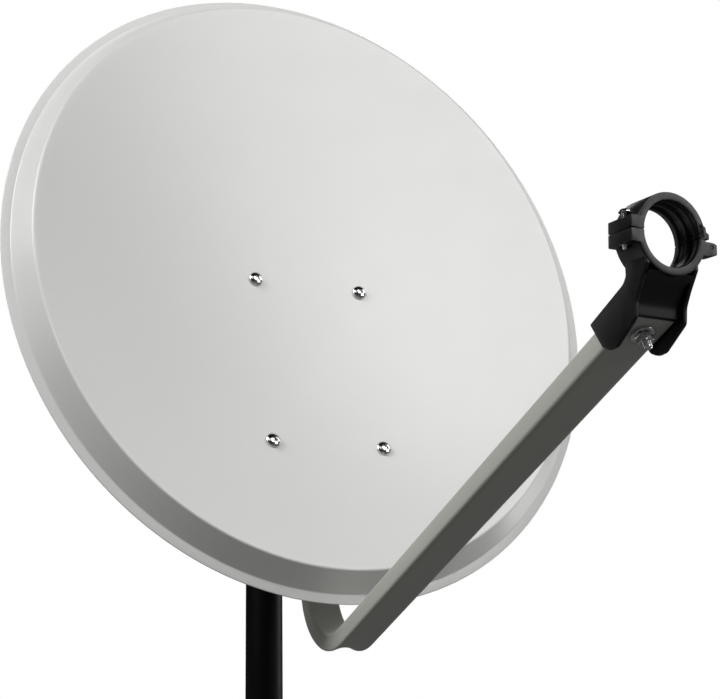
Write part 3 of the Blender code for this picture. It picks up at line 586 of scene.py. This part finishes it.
def reflector_column(angle):
    """One column of the sheet's points, from its middle out along the front and back behind."""
    away = Vector((RIM_HALF_HEIGHT * math.cos(angle), RIM_HALF_WIDTH * math.sin(angle))).normalized()
    edge = Vector((RIM_HALF_WIDTH * math.cos(angle), RIM_HALF_HEIGHT * math.sin(angle)))
    front, back = [], []
    step = math.pi / 2 / (FACE_RINGS + 1)
    for ring in range(1, FACE_RINGS + 1):
        x, y = edge * (0.972 * math.sin(ring * step) / math.sin(FACE_RINGS * step))
        point = Vector((x, y, surface_height(x, y)))
        front.append(point)
        back.append(point - SHEET * surface_normal(x, y))
    section = rim_section(edge.x, edge.y, away)
    behind = offset_back(section, SHEET)
    middle = (Vector(section[-1]) + Vector(behind[-1])) / 2
    edge_turn = [middle + Vector((a, b)) for a, b in arc((0, 0), SHEET / 2, 60, -60, 4)]

    def lifted(point):
        spot = edge + point[0] * away
        return Vector((spot.x, spot.y, point[1]))

    front += [lifted(point) for point in section + [tuple(p) for p in edge_turn]]
    return front, back + [lifted(point) for point in behind]


def make_reflector():
    """A pressed sheet: the dished face, a bend, a slanted wall, a second bend and a flat lip."""
    columns = [reflector_column(2 * math.pi * k / ROUND) for k in range(ROUND)]
    count_front, count_back = len(columns[0][0]), len(columns[0][1])
    centre = Vector((0, 0, surface_height(0, 0)))
    loops = [[centre]]
    loops += [[column[0][k] for column in columns] for k in range(count_front)]
    loops += [[column[1][k] for column in columns] for k in reversed(range(count_back))]
    loops.append([centre - SHEET * surface_normal(0, 0)])
    sheet = skinned(loops, capped=False)
    holes = [moved(rod(M6_HOLE, (0, 0, -0.01), (0, 0, 0.01)), seat) for seat in SEATS]
    piece("reflector", combine(sheet, cut=holes), "reflector_paint", DISH, sharp=40)


def make_face_bolts():
    """Round-headed bolts through the reflector and the bracket's feet, each with a washer and a nut."""
    crown, rim, lift = 0.0046, 0.0079, 0.00006
    dome = [(0, crown)]
    dome += [(rim * math.sin(a), 0.0008 + (crown - 0.0008) * math.cos(a) ** 0.9)
             for a in (math.radians(d) for d in (8, 18, 28, 38, 48, 58, 67, 75, 82))]
    dome += [(rim, 0.0008), (rim - 0.0001, 0.0003), (rim - 0.0004, lift), (0, lift)]
    floor = SHEET + GAP + PLATE
    for number, seat in enumerate(SEATS, 1):
        turn = Matrix.Rotation(math.radians(23 * number), 4, "Z")
        head = combine(turned(dome, 64), cut=cross_recess(0.0074, 0.0026, crown))
        bolt = combine(head, added=[shank(M6, 0.001, -0.0165, -0.0050)])
        fastener(f"face_bolt_{number}", bolt, DISH @ seat @ turn)
        down = seat @ Matrix.Translation((0, 0, -floor - GAP - WASHER))
        fastener(f"face_washer_{number}", washer(0.0062, WASHER, M6_LOOSE), DISH @ down)
        below = down @ Matrix.Translation((0, 0, -GAP - M6_NUT))
        fastener(f"face_nut_{number}", nut(M6_FLATS, M6_NUT, M6), DISH @ below)


# ---- mast and its clamp ---------------------------------------------------------------------------
def make_mast():
    inner = MAST_RADIUS - MAST_WALL
    edge = 0.0004
    wall = [(inner, PLUG_RIM, edge), (MAST_RADIUS, PLUG_RIM, edge), (MAST_RADIUS, MAST_TOP, edge)]
    wall.append((inner, MAST_TOP, edge))
    piece("mast_tube", turned(rounded(wall, 30), 128, ring=True), "mast_paint")
    spigot, rim = inner - GAP, PLUG_RIM - GAP
    outline = [(0, 0), *rounded([(MAST_RADIUS, 0, 0.0007), (MAST_RADIUS, rim, 0.0004), (spigot, rim, 0),
                                 (spigot, PLUG_DEPTH, 0.0008), (0, 0.01, 0)], 20)[:-1], (0, PLUG_DEPTH)]
    piece("mast_foot_plug", turned(outline, 96), "plug_plastic")
    crown = [(0, 0.0045), (0.006, 0.0043), (0.012, 0.0038), (0.0165, 0.0031), (0.0190, 0.0023)]
    crown += [(0.0202, 0.0014), (0.0206, 0.0006), (0.0206, GAP), (spigot, GAP)]
    crown += [(spigot, -PLUG_DEPTH), (0, -PLUG_DEPTH)]
    piece("mast_top_cap", turned(crown, 96), "plug_plastic", Matrix.Translation((0, 0, MAST_TOP)))


def make_mast_bracket():
    """A folded bracket: a web, two notched flanges against the mast and two cheeks for the tilt channel."""
    middle = (WEB_HIGH + WEB_LOW) / 2
    web = plate(box_outline(0.040, (WEB_HIGH - WEB_LOW) / 2, 0.006), 0, 0.003)
    web = moved(web, facing((0, WEB_FRONT + 0.003, middle), (0, -1, 0)))
    jaw, front = 0.003, WEB_FRONT + 0.001
    notch = (MAST_RADIUS + GAP) * math.sqrt(2)
    corners = [(-0.036, front, 0), (0.036, front, 0), (0.036, -0.004, 0.003), (notch - 0.004, -0.004, 0.0006)]
    corners += [(0, -notch, 0.001), (0.004 - notch, -0.004, 0.0006), (-0.036, -0.004, 0.003)]
    flange = rounded(corners)
    flanges = [plate(flange, WEB_LOW, WEB_LOW + jaw), plate(flange, WEB_HIGH - jaw, WEB_HIGH)]
    lock = PIVOT.z + LOCK_RADIUS
    side = [(front, WEB_HIGH - 0.008), (front, WEB_LOW + 0.008)]
    side += arc((PIVOT.y, PIVOT.z), 0.014, 270, 180, 12)
    side += arc((PIVOT.y, lock), 0.012, 180, 90, 12)
    cheeks = [plate(side, low, low + PLATE, "X") for low in (MAST_CHEEK, -MAST_CHEEK - PLATE)]
    holes = [rod(M8_HOLE, (-0.03, PIVOT.y, z), (0.03, PIVOT.y, z), 40) for z in (PIVOT.z, lock)]
    for z in U_BOLT_HEIGHTS:
        for x in (-U_BOLT_RADIUS, U_BOLT_RADIUS):
            holes.append(rod(ROD + GAP, (x, -0.06, z), (x, -0.03, z), 40))
    piece("mast_bracket", combine(web, added=flanges + cheeks, cut=holes), "bracket_zinc")


def make_u_bolt(node, height):
    """A rod bent round the back of the mast, threaded at both ends."""
    centre = GAP + MAST_RADIUS - (U_BOLT_RADIUS - ROD)
    quarter = math.pi / 2 * U_BOLT_RADIUS
    end = quarter + centre - U_BOLT_FRONT
    threads = 0.022
    loops = [[(0, 0, -end)], circle(0.0026, -end), *thread_loops(ROD, -end + 0.0006, -end + threads)]
    bends = 40
    loops.append(circle(ROD, -quarter - 0.004))
    loops += [circle(ROD, quarter * (2 * k / bends - 1)) for k in range(bends + 1)]
    loops += [circle(ROD, quarter + 0.004), *thread_loops(ROD, end - threads, end - 0.0006)]
    loops += [circle(0.0026, end), [(0, 0, end)]]
    mesh = skinned(loops, capped=False)
    for vertex in mesh.vertices:
        outward, up, along = vertex.co
        angle = max(-math.pi / 2, min(math.pi / 2, along / U_BOLT_RADIUS))
        leg = max(0.0, abs(along) - quarter)
        reach = U_BOLT_RADIUS + outward
        vertex.co = (reach * math.sin(angle), centre + reach * math.cos(angle) - leg, height + up)
    fastener(node, mesh)


def make_mast_clamp():
    for word, height in zip(("lower", "upper"), U_BOLT_HEIGHTS):
        make_u_bolt(f"u_bolt_{word}", height)
        for hand, x in (("left", -U_BOLT_RADIUS), ("right", U_BOLT_RADIUS)):
            front = facing((x, WEB_FRONT - GAP, height), (0, -1, 0))
            fastener(f"u_washer_{word}_{hand}", washer(0.0075, WASHER, M8_LOOSE), front)
            on_washer = facing((x, WEB_FRONT - WASHER - 2 * GAP, height), (0, -1, 0))
            turn = Matrix.Rotation(math.radians(17 if hand == "left" else 41), 4, "Z")
            fastener(f"u_nut_{word}_{hand}", m8_nut(), on_washer @ turn)


def make_cross_bolt(name, height):
    """A bolt through all four cheeks, a washer under its head and its nut, and a sleeve between."""
    seat = TILT_OUTER + GAP
    outer = seat + WASHER + GAP
    half = MAST_CHEEK - GAP
    head = facing((-outer, PIVOT.y, height), (-1, 0, 0))
    fastener(f"{name}_bolt", m8_bolt(0.0535, 0.018), head)
    for hand, side in (("left", -1), ("right", 1)):
        at = facing((side * seat, PIVOT.y, height), (side, 0, 0))
        fastener(f"{name}_washer_{hand}", washer(0.008, WASHER, M8_LOOSE), at)
    fastener(f"{name}_nut", m8_nut(), facing((outer, PIVOT.y, height), (1, 0, 0)))
    spots = ((WIDE_HOLE, -half), (0.006, -half), (0.006, half), (WIDE_HOLE, half))
    tube = turned(rounded([(*spot, 0.0003) for spot in spots], 30), 48, ring=True)
    fastener(f"{name}_sleeve", tube, facing((0, PIVOT.y, height), (1, 0, 0)))


# ---- back bracket and tilt channel ----------------------------------------------------------------
def make_back_bracket():
    """A pressed plate behind the reflector, with four hollow feet and a stiffening flange each side."""
    base = plate(box_outline(PLATE_HALF_WIDTH, PLATE_HALF_HEIGHT, 0.012), -PLATE, 0)
    behind = plate(box_outline(0.2, 0.2, 0.01), -0.05, -PLATE)
    top = -SHEET - GAP
    added, hollows = [], []
    for seat in SEATS:
        there = DISH_TO_PLATE @ seat
        profile = [(0, top), *rounded([(0.0115, top, 0.0012), (0.0150, -0.0185, 0), (0, -0.02, 0)])[:-2]]
        foot = turned(profile + [(0.0150, -0.0185), (0, -0.0185)], 64)
        added.append(combine(moved(foot, there), cut=[behind.copy()]))
        floor = top - PLATE
        hollow = turned([(0, floor), (0.0088, floor), (0.0130, -0.0225), (0, -0.0225)], 48)
        hollows.append(moved(hollow, there))
        hollows.append(moved(rod(M6_HOLE, (0, 0, -0.03), (0, 0, 0.01)), there))
    inner, reach = PLATE_HALF_WIDTH - PLATE, PLATE_HALF_HEIGHT - FLANGE
    corners = [(-reach, -FLANGE, 0.006), (reach, -FLANGE, 0.006), (reach, -0.001, 0), (-reach, -0.001, 0)]
    for low, high in ((inner, PLATE_HALF_WIDTH), (-PLATE_HALF_WIDTH, -inner)):
        added.append(plate(rounded(corners), low, high, "X"))
    for x, y in RIVETS:
        hollows.append(rod(RIVET_HOLE, (x, y, -0.02), (x, y, 0.02)))
    piece("back_bracket", combine(base, added=added, cut=hollows), "bracket_zinc", PLATE_FRAME)


def make_rivets():
    back = -2 * PLATE - 2 * GAP
    profile = [(0, 0.0022), (0.0016, 0.0020), (0.0031, 0.0015), (0.0042, 0.0008), (0.0048, GAP)]
    profile += [(0.0025, GAP), (0.0025, back), (0.0046, back), (0.0040, back - 0.0009)]
    profile += [(0.0028, back - 0.0017), (0.0014, back - 0.0021), (0, back - 0.0022)]
    for number, (x, y) in enumerate(RIVETS, 1):
        fastener(f"rivet_{number}", turned(profile, 40), PLATE_FRAME @ Matrix.Translation((x, y, 0)))


def limb_holes():
    """Where the two cross bolts hold the arm's upper end, in the dish frame."""
    point, along = arm_end()
    return [point - along * back for back in (0.018, 0.060)]


def tilt_slot(centre, to_back, to_front, width):
    """The curved slot's outline round the pivot."""
    slot = arc(centre, LOCK_RADIUS + width, to_back, to_front, 24)
    low_end = arc(centre, LOCK_RADIUS, to_front, to_front, 1)[0]
    slot += arc(low_end, width, to_front, to_front + 180, 14)[1:-1]
    slot += arc(centre, LOCK_RADIUS - width, to_front, to_back, 24)
    high_end = arc(centre, LOCK_RADIUS, to_back, to_back, 1)[0]
    slot += arc(high_end, width, to_back + 180, to_back + 360, 14)[1:-1]
    return slot


def make_tilt_channel():
    """Two cheeks on a base: they turn on the pivot bolt and slide along the lock bolt by their slots."""
    pivot = WORLD_TO_PLATE @ PIVOT
    up = WORLD_TO_PLATE.to_3x3() @ Vector((0, 0, 1))
    rest = math.degrees(math.atan2(up.z, up.y))
    centre = (pivot.y, pivot.z)
    front = -PLATE - GAP
    corners = [(-0.085, front - PLATE), (0.075, front - PLATE), (0.075, front), (-0.085, front)]
    base = plate(corners, -TILT_OUTER, TILT_OUTER, "X", edge=0.0004)
    to_front, to_back = rest + TILT_UP, rest - TILT_DOWN
    reach = LOCK_RADIUS + 0.011
    rim = [p for p in arc(centre, reach, to_back - 10, to_front + 11, 26) if p[1] < front - 0.001]
    side = [(0.062, front), (-0.118, front), (-0.122, front - 0.004), (-0.122, -0.040), (-0.116, -0.047)]
    side += arc(centre, 0.015, 250, 300, 8)
    side += rim
    slot = tilt_slot(centre, to_back, to_front, M8_LOOSE)
    cut = [plate(slot, -0.03, 0.03, "X", edge=0.0001, steps=1)]
    cut.append(rod(M8_HOLE, (-0.03, *centre), (0.03, *centre), 40))
    for hole in limb_holes():
        there = DISH_TO_PLATE @ hole
        cut.append(rod(WIDE_HOLE, there - Vector((0.03, 0, 0)), there + Vector((0.03, 0, 0)), 40))
    cut += [rod(RIVET_HOLE, (x, y, -0.02), (x, y, 0.02)) for x, y in RIVETS]
    for number in range(9):
        angle = math.radians(to_back + (to_front - to_back) * number / 8)
        low, high = LOCK_RADIUS + 0.0058, LOCK_RADIUS + (0.0092 if number % 2 == 0 else 0.0078)
        tick = plate([(low, -0.0002), (high, -0.0002), (high, 0.0002), (low, 0.0002)],
                     TILT_OUTER - 0.0003, TILT_OUTER + 0.001, edge=0.00001, steps=1)
        stand = Matrix(((0, 0, 1, 0), (1, 0, 0, 0), (0, 1, 0, 0), (0, 0, 0, 1)))
        spin = Matrix.Translation((0, *centre)) @ Matrix.Rotation(angle, 4, "X")
        cut.append(moved(tick, spin @ stand))
    cheeks = [plate(side, low, low + PLATE, "X", edge=0.0004) for low in (TILT_CHEEK, -TILT_OUTER)]
    piece("tilt_channel", combine(base, added=cheeks, cut=cut), "bracket_zinc", PLATE_FRAME)
    for number, hole in enumerate(limb_holes(), 1):
        head = facing(hole - Vector((TILT_OUTER + GAP, 0, 0)), (-1, 0, 0))
        fastener(f"arm_bolt_{number}", m8_bolt(0.0495, 0.016), DISH @ head)
        at = facing(hole + Vector((TILT_OUTER + GAP, 0, 0)), (1, 0, 0))
        fastener(f"arm_nut_{number}", m8_nut(), DISH @ at)


# ---- feed arm -------------------------------------------------------------------------------------
BEND_STEPS, TUBE_CORNER = 56, 0.0030


def arm_point(along, height=0.0):
    """A point on the straight run of the arm, in the dish frame, from where it crosses the rim plane."""
    y = ARM_CROSSING + along * math.cos(ARM_ANGLE) + height * math.sin(ARM_ANGLE)
    z = along * math.sin(ARM_ANGLE) - height * math.cos(ARM_ANGLE)
    return Vector((0, y, z))


def arm_stations():
    """(point, direction, fold) along the arm from its tip to its upper end behind the dish."""
    back = -(arm_point(1) - arm_point(0))
    up = arm_point(0, 1) - arm_point(0)
    stations = [(arm_point(ARM_TIP), back, 0.0), (arm_point(0.02), back, 0.0)]
    centre = arm_point(-ARM_BACK) + BEND_RADIUS * up
    for k in range(BEND_STEPS + 1):
        angle = BEND_ANGLE * k / BEND_STEPS
        point = centre + BEND_RADIUS * (math.sin(angle) * back - math.cos(angle) * up)
        fold = math.sin(math.pi * k / BEND_STEPS) ** 0.75
        stations.append((point, math.cos(angle) * back + math.sin(angle) * up, fold))
    point, along, _ = stations[-1]
    stations.append((point + LIMB * along, along, 0.0))
    return stations


def arm_end():
    point, along, _ = arm_stations()[-1]
    return point, along


def tube_loop(point, along, fold, shrink):
    """The tube's section at one station; fold pulls the outer wall in along a line left of its middle."""
    out = Vector((1, 0, 0)).cross(along)
    w, h = TUBE_HALF_WIDTH - shrink, TUBE_HALF_HEIGHT - shrink
    corner = TUBE_CORNER - 0.8 * shrink
    crease = -0.2 * w
    flat = w - corner
    outline = arc((flat, -h + corner), corner, -90, 0, 5) + arc((flat, h - corner), corner, 0, 90, 5)
    outline += arc((-flat, h - corner), corner, 90, 180, 5) + arc((-flat, -h + corner), corner, 180, 270, 5)
    across = 12
    outline += [(flat * (2 * k / across - 1), -h) for k in range(1, across)]
    loop = []
    for x, y in outline:
        reach = 0.92 * w + (crease if x < crease else -crease)
        share = max(0.0, 1 - abs(x - crease) / reach) if y < 0 else 0.0
        pulled = CREASE * fold * (1 - (1 - share) ** 2) ** 0.9 if share > 0 else 0.0
        loop.append(point + Vector((x, 0, 0)) + (y + pulled) * out)
    return loop


def make_arm():
    """One rectangular tube: a straight run to the feed, a tight bend, and a limb behind the dish."""
    stations = arm_stations()
    skins = [tube_loop(*station, 0.0) for station in stations]
    skins += [tube_loop(*station, TUBE_WALL) for station in reversed(stations)]
    reach = Vector((0.03, 0, 0))
    cutters = [rod(WIDE_HOLE, point - reach, point + reach) for point in limb_holes()]
    cutters.append(rod(M6_HOLE, arm_point(HOLDER_BOLT, -0.03), arm_point(HOLDER_BOLT, 0.03)))
    mesh = combine(skinned(skins, closed=True), cut=cutters)
    piece("feed_arm", mesh, "arm_paint", DISH, sharp=50)
    point, along = arm_end()
    rim = plate(box_outline(TUBE_HALF_WIDTH, TUBE_HALF_HEIGHT, 0.003), GAP, 0.0025, edge=0.0006)
    inner = TUBE_WALL + GAP
    spigot = plate(box_outline(TUBE_HALF_WIDTH - inner, TUBE_HALF_HEIGHT - inner, 0.0015), -0.010, 0.001)
    right = Vector((1, 0, 0))
    turn = Matrix((right, along.cross(right), along)).transposed()
    piece("arm_end_plug", combine(rim, added=[spigot]), "plug_plastic",
          DISH @ Matrix.Translation(point) @ turn.to_4x4())


# ---- feed holder and its clamp, in the feed frame: Z is the clamp's axis, away from the dish ------
HALF_STEPS = 60


def feed_side(along, height):
    """A point given on the arm, as (y, z) in the feed frame."""
    point = FEED_IN_DISH.inverted() @ arm_point(along, height)
    return (point.y, point.z)


def half_ring(sign):
    """Half of the clamp's ring above (+1) or below (-1) its split, with gripping ribs and grooves inside."""
    back, groove = -RING_LENGTH, RING_BORE + 0.0016
    corners = [(RING_OUTER, 0, 0.0007), (RING_OUTER, back, 0.0007), (RING_MOUTH, back, 0.0004)]
    corners += [(RING_MOUTH, back + 0.0028, 0.0002), (RING_BORE, back + 0.0034, 0.0003)]
    for middle in (-0.0155, -0.0075):
        corners += [(RING_BORE, middle - 0.0030, 0.0003), (groove, middle - 0.0024, 0.0003)]
        corners += [(groove, middle + 0.0024, 0.0003), (RING_BORE, middle + 0.0030, 0.0003)]
    corners += [(RING_BORE, -0.0034, 0.0003), (RING_MOUTH, -0.0028, 0.0002), (RING_MOUTH, 0, 0.0005)]
    section = rounded(corners, 30)
    loops = []
    for k in range(HALF_STEPS + 1):
        loop = []
        for radius, level in section:
            start = math.asin(SPLIT / radius)
            angle = start + (math.pi - 2 * start) * k / HALF_STEPS
            loop.append((radius * math.cos(angle), sign * radius * math.sin(angle), level))
        loops.append(loop)
    return skinned(loops)


def clamp_lug(outer, split):
    """The screw's lug on one half of the clamp, from its outer face to the split, (y, y)."""
    corners = [(LUG_LEFT, outer, 0.0007), (LUG_RIGHT, outer, 0)]
    corners += [(LUG_RIGHT, split, 0), (LUG_LEFT, split, 0.0001)]
    if outer > split:
        corners.reverse()
    return plate(rounded(corners, 30), -0.0230, 0, edge=0.0003)


def pin_hole():
    """A cutter for the hinge pin's hole."""
    return rod(PIN_RADIUS + 0.0001, (HINGE_X, HINGE_Y, -0.03), (HINGE_X, HINGE_Y, 0.01))


def cheek_outline():
    """The side of the holder, (y, z): the neck at the ring, the swept edges and the rounded foot."""
    corners = [(-0.0140, -0.0212, 0), (-0.0252, -0.0206, 0.004), (-0.0297, -0.0232, 0.008)]
    corners += [(-0.0495, -0.0578, 0.0012), (-0.0664, -0.0450, 0.006), (-0.0692, -0.0385, 0.010)]
    corners += [(-0.0680, -0.0307, 0.006), (-0.0530, -0.0120, 0.004), (-0.0424, -0.0114, 0.008)]
    corners += [(-0.0331, -0.0073, 0.012), (-0.0208, -0.0004, 0.002), (-0.0140, -0.0004, 0)]
    return rounded(corners, 8)


def web_outline():
    """The hollow-faced wall between the cheeks, (y, z)."""
    front = feed_side(ARM_TIP + 0.0026, -TUBE_HALF_HEIGHT)
    back = feed_side(ARM_TIP + 0.0006, -TUBE_HALF_HEIGHT)
    top = feed_side(ARM_TIP + 0.0006, TUBE_HALF_HEIGHT + GAP)
    corners = [(-0.0246, -0.0006, 0), (-0.0313, -0.0094, 0.010), (-0.0417, -0.0152, 0.014), (*front, 0.0006)]
    corners += [(*back, 0), (*top, 0), (-0.0356, -0.0296, 0), (-0.0298, -0.0170, 0), (-0.0252, -0.0093, 0)]
    return rounded(corners, 6)


def make_holder():
    lug = clamp_lug(-0.0087, -SPLIT)
    block = [(0.0230, -0.0110, 0), (0.0308, -0.0106, 0.0010), (0.0354, -0.0090, 0.0012)]
    block += [(0.0354, -0.0022, 0.0014), (0.0322, -0.0013, 0.0020), (0.0240, -0.0013, 0)]
    block = rounded(block)
    knuckles = [plate(block, KNUCKLE_GAP[1], 0), plate(block, -0.0232, KNUCKLE_GAP[0])]
    cheek, thick = cheek_outline(), CHEEK_OUT - CHEEK_IN
    cheeks = [plate(cheek, low, low + thick, "X", edge=0.0007) for low in (CHEEK_IN, -CHEEK_OUT)]
    on_tube, over_shelf = TUBE_HALF_HEIGHT + GAP, TUBE_HALF_HEIGHT + SHELF
    shelf = [feed_side(ARM_TIP + 0.0006, on_tube), feed_side(HOLDER_SHELF[0], on_tube)]
    shelf += [feed_side(HOLDER_SHELF[0], over_shelf), feed_side(HOLDER_SHELF[1], over_shelf)]
    half = CHEEK_IN + 0.0004
    inside = [plate(web_outline(), -half, half, "X", edge=0.0001, steps=1)]
    inside.append(plate(shelf, -half, half, "X", edge=0.0003, steps=2))
    pocket = plate(hexagon(0.0074), -0.0005, 0.0037, edge=0.0001, steps=1)
    bolt_hole = rod(M6_HOLE, arm_point(HOLDER_BOLT, 0), arm_point(HOLDER_BOLT, 0.03))
    cut = [
        rod(0.0026, (SCREW_X, -0.02, SCREW_Z), (SCREW_X, 0.01, SCREW_Z)),
        moved(pocket, facing((SCREW_X, -0.0087, SCREW_Z), (0, 1, 0))),
        pin_hole(),
        moved(bolt_hole, FEED_IN_DISH.inverted()),
    ]
    mesh = combine(half_ring(-1), added=[lug, *knuckles, *cheeks, *inside], cut=cut)
    piece("lnb_holder", mesh, "holder_plastic", FEED)
    nut_at = FEED @ facing((SCREW_X, -0.0085, SCREW_Z), (0, 1, 0))
    ring = combine(hex_body(0.0070, 0, 0.0032, True), cut=[rod(0.00255, (0, 0, -0.001), (0, 0, 0.005))])
    fastener("clamp_nut", ring, nut_at)
    pin = [(0, -0.0228, 0), (PIN_RADIUS, -0.0228, 0.0003), (PIN_RADIUS, -0.0004, 0.0003), (0, -0.0004, 0)]
    hinge = FEED @ Matrix.Translation((HINGE_X, HINGE_Y, 0))
    piece("hinge_pin", turned(rounded(pin, 30), 40), "holder_plastic", hinge)


def make_holder_bolt():
    turn = facing((0, 0, 0), arm_point(0, 1) - arm_point(0))
    top = TUBE_HALF_HEIGHT + SHELF + GAP
    head = DISH @ Matrix.Translation(arm_point(HOLDER_BOLT, top)) @ turn
    length = top + TUBE_HALF_HEIGHT + 0.0125
    fastener("holder_bolt", hex_bolt(M6_FLATS, M6_HEAD, M6, length, 0.024), head)
    thick = 0.0016
    low = -TUBE_HALF_HEIGHT - GAP - thick
    at = DISH @ Matrix.Translation(arm_point(HOLDER_BOLT, low)) @ turn
    fastener("holder_washer", washer(0.008, thick, M6_LOOSE), at)
    at = DISH @ Matrix.Translation(arm_point(HOLDER_BOLT, low - GAP - M6_NUT)) @ turn
    fastener("holder_nut", nut(M6_FLATS, M6_NUT, M6), at)


def make_cap():
    """The clamp's upper half: it turns on the hinge pin, and its screw comes with it."""
    lug = clamp_lug(LUG_TOP, SPLIT)
    step = [(0.0215, SPLIT, 0), (0.0292, SPLIT, 0.0003), (0.0293, 0.0038, 0.0012), (0.0272, 0.0048, 0.0006)]
    step += [(0.0266, 0.0080, 0.0012), (0.0222, 0.0098, 0)]
    shoulder = plate(rounded(step), -0.0230, 0)
    tongue = [(0.0271, 0.0020), (0.0271, -0.0036)]
    tongue += arc((HINGE_X, HINGE_Y), 0.0028, 155, 385, 24)
    tongue += [(0.0322, -0.0008), (0.0308, SPLIT), (0.0290, 0.0020)]
    knuckle = plate(tongue, KNUCKLE_GAP[0] + GAP, KNUCKLE_GAP[1] - GAP, edge=0.0002, steps=2)
    cut = [
        rod(0.0023, (SCREW_X, -0.02, SCREW_Z), (SCREW_X, 0.03, SCREW_Z)),
        rod(0.0046, (SCREW_X, LUG_TOP, SCREW_Z), (SCREW_X, 0.018, SCREW_Z), 48),
        pin_hole(),
    ]
    piece("clamp_cap", combine(half_ring(1), added=[lug, shoulder, knuckle], cut=cut), "holder_plastic", FEED)
    height = 0.0026
    pan = [(0, height), (0.0012, height - 0.0001), (0.0024, 0.0022), (0.0033, 0.0016), (0.0039, 0.0008)]
    pan += [(0.0041, 0.0003), (0.0040, 0), (0, 0)]
    head = combine(turned(pan, 48), cut=cross_recess(0.0042, 0.0015, height))
    screw = combine(head, added=[shank(SCREW_RADIUS, 0.0005, -SCREW_LENGTH, -0.0012)])
    fastener("clamp_screw", screw, FEED @ facing((SCREW_X, SCREW_SEAT, SCREW_Z), (0, 1, 0)))


# ---- floor, light and camera ----------------------------------------------------------------------
def make_floor():
    """A plain pale floor, lit evenly from within. It neither shades the object nor lights it."""
    floor = placed("floor", plate(box_outline(14.0, 14.0, 0), -0.02, 0, edge=0.001, steps=1))
    finish = Finish("pale_floor", specular=0.1)
    finish.colour(finish.noise(2.0, 3.0), (0.90, 0.90, 0.90), (0.93, 0.93, 0.93))
    finish.rough(finish.noise(5.0), 0.8, 0.9)
    finish.shader.inputs["Emission Color"].default_value = (1, 1, 1, 1)
    finish.shader.inputs["Emission Strength"].default_value = 1.0
    floor.data.materials.append(finish.material)
    floor.visible_shadow = False
    floor.visible_diffuse = False
    floor.visible_glossy = False


def make_world():
    """White behind the object. Its light comes from the soft boxes and from a pale ground all round."""
    world = bpy.data.worlds.new("studio")
    bpy.context.scene.world = world
    world.use_nodes = True
    tree = world.node_tree
    tree.nodes.clear()
    direction = tree.nodes.new("ShaderNodeTexCoord").outputs["Generated"]
    split = tree.nodes.new("ShaderNodeSeparateXYZ")
    tree.links.new(direction, split.inputs["Vector"])
    fade = tree.nodes.new("ShaderNodeMapRange")
    for socket, number in {"From Min": -0.08, "From Max": 0.08, "To Min": 0.11, "To Max": 0.0}.items():
        fade.inputs[socket].default_value = number
    tree.links.new(split.outputs["Z"], fade.inputs["Value"])
    sky = tree.nodes.new("ShaderNodeBackground")
    tree.links.new(fade.outputs["Result"], sky.inputs["Color"])
    white = tree.nodes.new("ShaderNodeBackground")
    white.inputs["Color"].default_value = (1, 1, 1, 1)
    choice = tree.nodes.new("ShaderNodeMixShader")
    tree.links.new(tree.nodes.new("ShaderNodeLightPath").outputs["Is Camera Ray"], choice.inputs["Fac"])
    tree.links.new(sky.outputs["Background"], choice.inputs[1])
    tree.links.new(white.outputs["Background"], choice.inputs[2])
    output = tree.nodes.new("ShaderNodeOutputWorld")
    tree.links.new(choice.outputs["Shader"], output.inputs["Surface"])


def soft_light(name, azimuth, elevation, power):
    """A square soft box turned to the middle of the object; azimuth is from -Y towards +X, in degrees."""
    azimuth, elevation = math.radians(azimuth), math.radians(elevation)
    flat = math.cos(elevation)
    towards = Vector((math.sin(azimuth) * flat, -math.cos(azimuth) * flat, math.sin(elevation)))
    lamp = bpy.data.lights.new(name, "AREA")
    lamp.size = 1.1
    lamp.energy = power
    made = placed(name, lamp)
    made.location = MIDDLE + LAMP_DISTANCE * towards
    made.rotation_mode = "QUATERNION"
    made.rotation_quaternion = (-towards).to_track_quat("-Z", "Y")


def make_lights():
    soft_light("key", -80, 38, 51)
    soft_light("key_low", -80, 15, 6)
    soft_light("left", -30, 38, 5)
    soft_light("front", 20, 38, 29)
    soft_light("right", 70, 38, 9)
    soft_light("right_low", 40, 12, 15)
    soft_light("side", 95, 15, 5)
    soft_light("side_low", 95, -8, 14)
    soft_light("ground", -130, -35, 3)
    soft_light("behind", 160, 30, 14)


def make_camera():
    """The view from low on the left of the dish's front."""
    lens = bpy.data.cameras.new("view")
    lens.lens = CAMERA_LENS
    lens.clip_start, lens.clip_end = 0.01, 100
    camera = placed("view", lens)
    camera.location = CAMERA_PLACE
    pitch, roll, heading = CAMERA_TURN
    camera.rotation_euler = (math.radians(pitch), math.radians(roll), math.radians(heading))
    bpy.context.scene.camera = camera
    bpy.context.scene.view_settings.view_transform = "Standard"


make_mast()
make_mast_bracket()
make_mast_clamp()
make_cross_bolt("pivot", PIVOT.z)
make_cross_bolt("lock", PIVOT.z + LOCK_RADIUS)
make_reflector()
make_face_bolts()
make_back_bracket()
make_rivets()
make_arm()
make_tilt_channel()
make_holder()
make_holder_bolt()
make_cap()
make_floor()
make_world()
make_lights()
make_camera()
